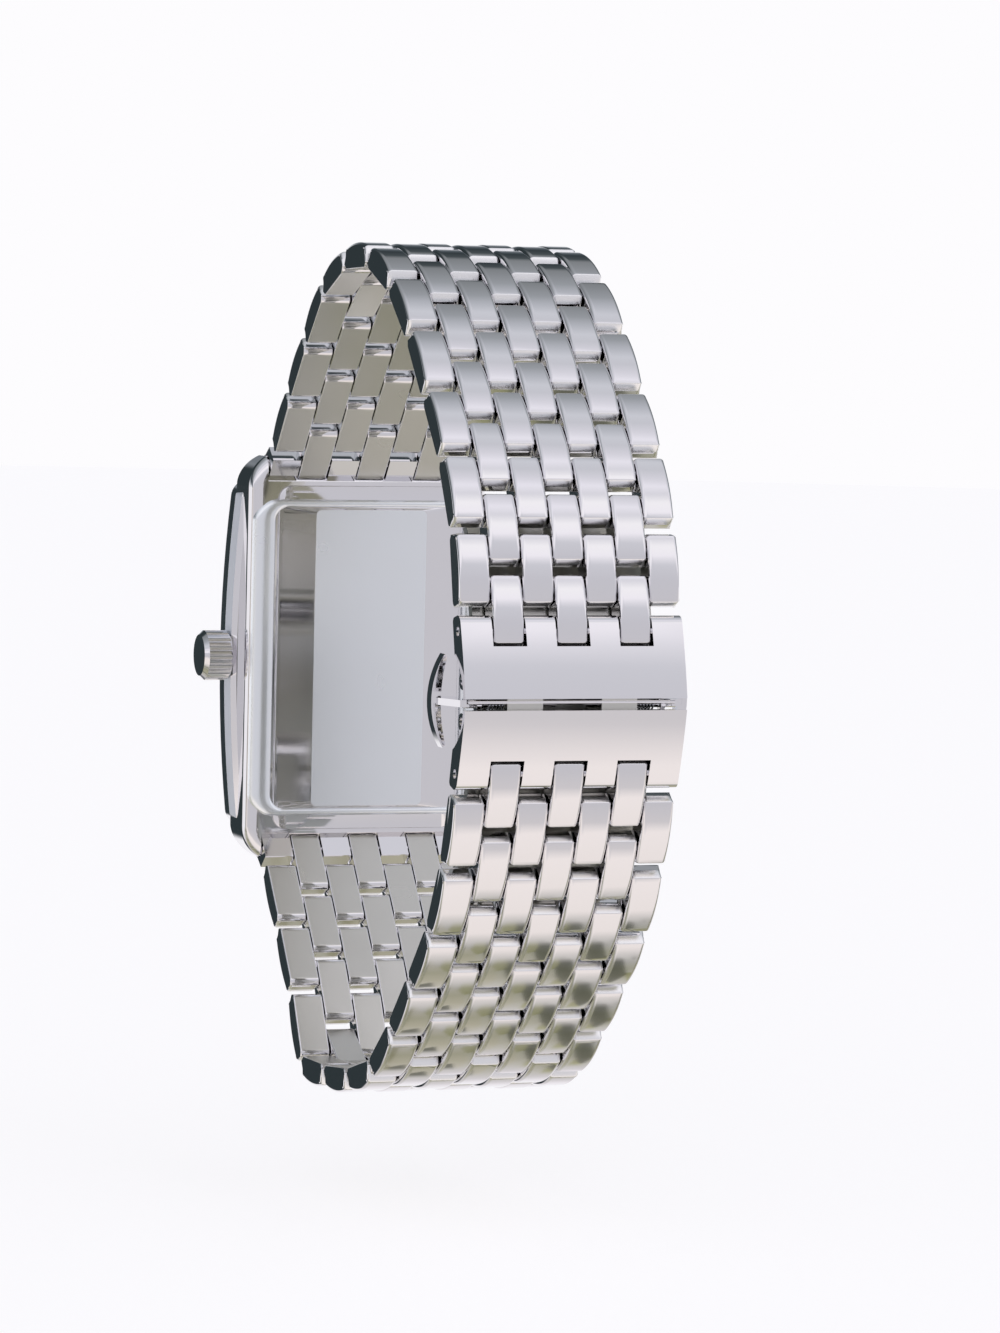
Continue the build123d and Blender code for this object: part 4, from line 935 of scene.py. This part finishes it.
@dataclass
class Studio:
    """The room: a bright sweep, soft bands for the steel to mirror, a pale floor and the camera."""

    floor_z: float = -48.0
    # where the camera stands, in millimetres and degrees, looking at the middle of the clasp
    yaw: float = 18.9
    tilt: float = 4.647
    roll: float = -0.17
    distance: float = 488.3
    aside: float = -6.53
    above: float = 3.24
    focal: float = 155.5
    target: tuple[float, float, float] = (0.0, 58.44, 0.65)
    sensor: float = 36.0
    view_end: float = 10.0
    floor_radius: float = 1500.0
    floor_sides: int = 96
    floor_colour: str = "F4F3F5"
    floor_roughness: float = 0.7
    # how much of the floor is its own glow, which shows white round the watch's shadow
    floor_glow: float = 0.62
    glow_strength: float = 1.3
    backdrop: str = "FDFCFE"
    # size and bend of the room's unevenness, and the middle of the bands
    cloud_scale: float = 2.6
    cloud_bend: tuple[float, float, float] = (0.0, 0.16, 0.16)
    bands_middle: float = 0.08
    # the dark wall: its two edges in radians round Z, and its height as a share
    wall: str = "30383B"
    wall_start: tuple[float, float] = (0.1, 0.2)
    wall_end: tuple[float, float] = (0.8, 0.62)
    wall_height: tuple[float, float] = (0.72, 0.52)
    # the patches under the watch: their fineness, where they lie in radians round X, and their colours
    patch_scale: tuple[float, float, float] = (95.0, 2.2, 2.2)
    patch_start: tuple[float, float] = (-2.3, -2.15)
    patch_end: tuple[float, float] = (-1.35, -1.55)
    patches: tuple[tuple[float, str], ...] = (
        (0.0, "FFFFFF"),
        (0.42, "DEDFBE"),
        (0.6, "9A9C97"),
        (0.76, "FFFDF6"),
        (0.88, "D4D2BE"),
    )
    # colour by the angle round X, from the camera's side (0) over the top (90) to beyond the watch (180)
    bands: tuple[tuple[float, str], ...] = (
        (-180, "F6F4F9"),
        (-160, "FAF9FC"),
        (-146, "F3EFF3"),
        (-136, "D9D5D6"),
        (-124, "C6C3BA"),
        (-112, "B4B1A2"),
        (-98, "A5A493"),
        (-87, "B3B1AB"),
        (-80, "D2CECA"),
        (-70, "F6EEEA"),
        (-42, "FAF2EF"),
        (-31, "D6D2D4"),
        (-14, "CDCBD0"),
        (12, "CDCCD3"),
        (25, "D4D4DB"),
        (33, "FBF8FE"),
        (43, "FEFCFF"),
        (50, "E2E1E8"),
        (57, "F3F1F9"),
        (66, "DEDDE5"),
        (76, "CFD0D7"),
        (86, "D3D5DC"),
        (97, "BABDC4"),
        (108, "9FA3A8"),
        (122, "8E9296"),
        (134, "83878A"),
        (141, "4A5154"),
        (152, "353D41"),
        (161, "586066"),
        (169, "9CA0A6"),
        (174, "E4E6EA"),
        (180, "F6F4F9"),
    )

    def world(self) -> None:
        """Build the room's light as bands round the bracelet's width, and a dark wall on the crown's side."""
        world = bpy.data.worlds.new("room")
        bpy.context.scene.world = world
        world.use_nodes = True
        tree = world.node_tree
        background = tree.nodes["Background"]
        direction = add_node(tree, "TexCoord").outputs["Generated"]
        # soft unevenness, as of hands, curtains and furniture, bends the bands
        cloud = add_node(
            tree, "TexNoise", inputs={"Vector": direction, "Scale": self.cloud_scale, "Detail": 2.0}
        )
        bent = add_node(
            tree,
            "VectorMath",
            {"operation": "MULTIPLY_ADD"},
            {0: cloud.outputs["Color"], 1: self.cloud_bend, 2: direction},
        )
        parts = add_node(tree, "SeparateXYZ", inputs={"Vector": bent.outputs["Vector"]})
        straight = add_node(tree, "SeparateXYZ", inputs={"Vector": direction})
        up = self.reckon(tree, "SUBTRACT", parts.outputs["Z"], self.bands_middle)
        back = self.reckon(tree, "SUBTRACT", parts.outputs["Y"], self.bands_middle)
        round_width = self.reckon(tree, "ARCTAN2", up, back)
        share = add_node(
            tree, "MapRange", inputs={"Value": round_width, "From Min": -math.pi, "From Max": math.pi}
        )
        bands = set_ramp(
            add_node(tree, "ValToRGB", inputs={"Fac": share.outputs["Result"]}),
            [(0.5 + turn / 360, colour) for turn, colour in self.bands],
        )
        # furniture and daylight under the watch show as slanted patches in the lower rows
        stretched = add_node(tree, "Mapping", inputs={"Vector": direction, "Scale": self.patch_scale})
        cells = add_node(
            tree,
            "TexVoronoi",
            {"feature": "F1"},
            {"Vector": stretched.outputs["Vector"], "Scale": 1.0, "Randomness": 1.0},
        )
        cell = add_node(tree, "SeparateXYZ", inputs={"Vector": cells.outputs["Color"]})
        patch = set_ramp(
            add_node(tree, "ValToRGB", inputs={"Fac": cell.outputs["X"]}),
            self.patches,
        )
        patch.color_ramp.interpolation = "CONSTANT"
        below = self.reckon(
            tree,
            "MULTIPLY",
            self.step(tree, round_width, *self.patch_start),
            self.step(tree, round_width, *self.patch_end),
        )
        patched = add_node(
            tree,
            "Mix",
            {"data_type": "RGBA", "blend_type": "MULTIPLY"},
            {"Factor": below, "A": bands.outputs["Color"], "B": patch.outputs["Color"]},
        )
        # the wall is seen only by faces that look to the crown's side or past the upper edge
        ahead = self.reckon(tree, "MULTIPLY", straight.outputs["Y"], -1.0)
        across = self.reckon(tree, "ARCTAN2", straight.outputs["X"], ahead)
        height = add_node(tree, "Math", {"operation": "ABSOLUTE"}, {0: straight.outputs["Z"]})
        level = self.step(tree, height.outputs["Value"], *self.wall_height)
        sides = self.reckon(
            tree,
            "MULTIPLY",
            self.step(tree, across, *self.wall_start),
            self.step(tree, across, *self.wall_end),
        )
        wall = self.reckon(tree, "MULTIPLY", sides, level)
        room = add_node(
            tree,
            "Mix",
            {"data_type": "RGBA"},
            {"Factor": wall, "A": patched.outputs[2], "B": linear(self.wall)},
        )
        shown = add_node(
            tree,
            "Mix",
            {"data_type": "RGBA"},
            {
                "Factor": add_node(tree, "LightPath").outputs["Is Camera Ray"],
                "A": room.outputs[2],
                "B": linear(self.backdrop),
            },
        )
        tree.links.new(shown.outputs[2], background.inputs["Color"])
        background.inputs["Strength"].default_value = 1.0

    def reckon(
        self,
        tree: bpy.types.NodeTree,
        operation: str,
        first: bpy.types.NodeSocket,
        second: bpy.types.NodeSocket | float,
    ) -> bpy.types.NodeSocket:
        """Combine two values.

        Args:
            tree: The node tree.
            operation: Blender's name for the sum.
            first: The first value's socket.
            second: The second value, or its socket.

        Returns:
            The result's output socket.
        """
        return add_node(tree, "Math", {"operation": operation}, {0: first, 1: second}).outputs["Value"]

    def step(
        self, tree: bpy.types.NodeTree, value: bpy.types.NodeSocket, start: float, end: float
    ) -> bpy.types.NodeSocket:
        """Soft step from 0 at start to 1 at end.

        Args:
            tree: The node tree.
            value: The socket that is stepped.
            start: Value where the step begins.
            end: Value where it is complete.

        Returns:
            The step's output socket.
        """
        node = add_node(
            tree,
            "MapRange",
            {"interpolation_type": "SMOOTHSTEP"},
            {"Value": value, "From Min": min(start, end), "From Max": max(start, end)},
        )
        if start > end:
            node.inputs["To Min"].default_value, node.inputs["To Max"].default_value = 1.0, 0.0
        return node.outputs["Result"]

    def floor(self) -> None:
        """Lay a pale floor under the watch that shows white and keeps its shadow."""
        mesh = bmesh.new()
        bmesh.ops.create_circle(
            mesh, cap_ends=True, segments=self.floor_sides, radius=self.floor_radius * MM
        )
        data = bpy.data.meshes.new("pale_floor")
        mesh.to_mesh(data)
        mesh.free()
        material, tree, shader = new_material("pale_floor_board")
        shader.inputs["Base Color"].default_value = linear(self.floor_colour)
        shader.inputs["Roughness"].default_value = self.floor_roughness
        path = add_node(tree, "LightPath")
        glow = add_node(
            tree, "Emission", inputs={"Color": linear(self.backdrop), "Strength": self.glow_strength}
        )
        through = add_node(tree, "BsdfTransparent")
        lit = add_node(
            tree,
            "MixShader",
            inputs={0: self.floor_glow, 1: shader.outputs["BSDF"], 2: glow.outputs["Emission"]},
        )
        # polished steel mirrors the room beyond the floor
        mirrored = add_node(
            tree,
            "MixShader",
            inputs={
                0: path.outputs["Is Glossy Ray"],
                1: lit.outputs["Shader"],
                2: through.outputs["BSDF"],
            },
        )
        tree.links.new(mirrored.outputs["Shader"], tree.nodes["Material Output"].inputs["Surface"])
        data.materials.append(material)
        floor = bpy.data.objects.new("pale_floor", data)
        floor.location.z = self.floor_z * MM
        bpy.context.scene.collection.objects.link(floor)

    def camera(self) -> None:
        """Set the camera where the photograph was taken from."""
        yaw, roll = math.radians(self.yaw), math.radians(self.roll)
        ahead = Vector((-math.sin(yaw), -math.cos(yaw), 0))
        right = Vector((-math.cos(yaw), math.sin(yaw), 0))
        up = Vector((0, 0, 1))
        right, up = (
            math.cos(roll) * right + math.sin(roll) * up,
            math.cos(roll) * up - math.sin(roll) * right,
        )
        tilt = Matrix.Rotation(math.radians(self.tilt), 3, "X")
        place = tilt @ (self.aside * right + self.above * up - self.distance * ahead)
        turn = Matrix((tilt @ right, tilt @ up, -(tilt @ ahead))).transposed().to_4x4()
        data = bpy.data.cameras.new("camera")
        data.sensor_fit = "AUTO"
        data.sensor_width = self.sensor
        data.lens = self.focal
        data.clip_end = self.view_end
        camera = bpy.data.objects.new("camera", data)
        camera.matrix_world = Matrix.Translation((place + Vector(self.target)) * MM) @ turn
        bpy.context.scene.collection.objects.link(camera)
        bpy.context.scene.camera = camera

    def build(self) -> None:
        """Set up the whole room."""
        self.world()
        self.floor()
        self.camera()
        bpy.context.scene.view_settings.view_transform = "Standard"


NODE_FINISHES: dict[str, Finish] = {
    "crystal": Finish.GLASS,
    "crystal_gasket": Finish.HOLDER,
    "case_back_gasket": Finish.RUBBER,
    "dial": Finish.DIAL,
    "movement_holder": Finish.HOLDER,
    "main_plate": Finish.NICKEL,
    "train_bridge": Finish.NICKEL,
    "circuit_board": Finish.CIRCUIT,
    "stepping_coil": Finish.COPPER,
    "battery": Finish.SATIN,
    "movement_screws": Finish.WIRE,
    "seconds_wheel": Finish.BRASS,
    "third_wheel": Finish.BRASS,
    "minute_wheel": Finish.BRASS,
    "hour_wheel": Finish.BRASS,
    "winding_stem": Finish.WIRE,
    "crown_tube": Finish.SATIN,
    "pusher_springs": Finish.WIRE,
    "spring_bars": Finish.WIRE,
    "clasp_blade_12": Finish.INNER,
    "clasp_blade_6": Finish.INNER,
    "clasp_centre_plate": Finish.INNER,
}


def main() -> None:
    """Load the frame, dress it and set up the room."""
    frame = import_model()
    workshop = Workshop()
    for name, node in frame["nodes"].items():
        workshop.dress(node, NODE_FINISHES.get(name, Finish.POLISHED))
    nodes = frame["nodes"]
    workshop.dress_faces(
        nodes["case_body"],
        Finish.FLANK,
        lambda normal, middle: abs(normal.x) > FLANK_FACING and abs(middle.x) > FLANK_START * MM,
    )
    CaseBack().build(workshop)
    Seam().build(workshop)
    Bracelet().build(workshop)
    Studio().build()


if __name__ == "__main__":
    main()
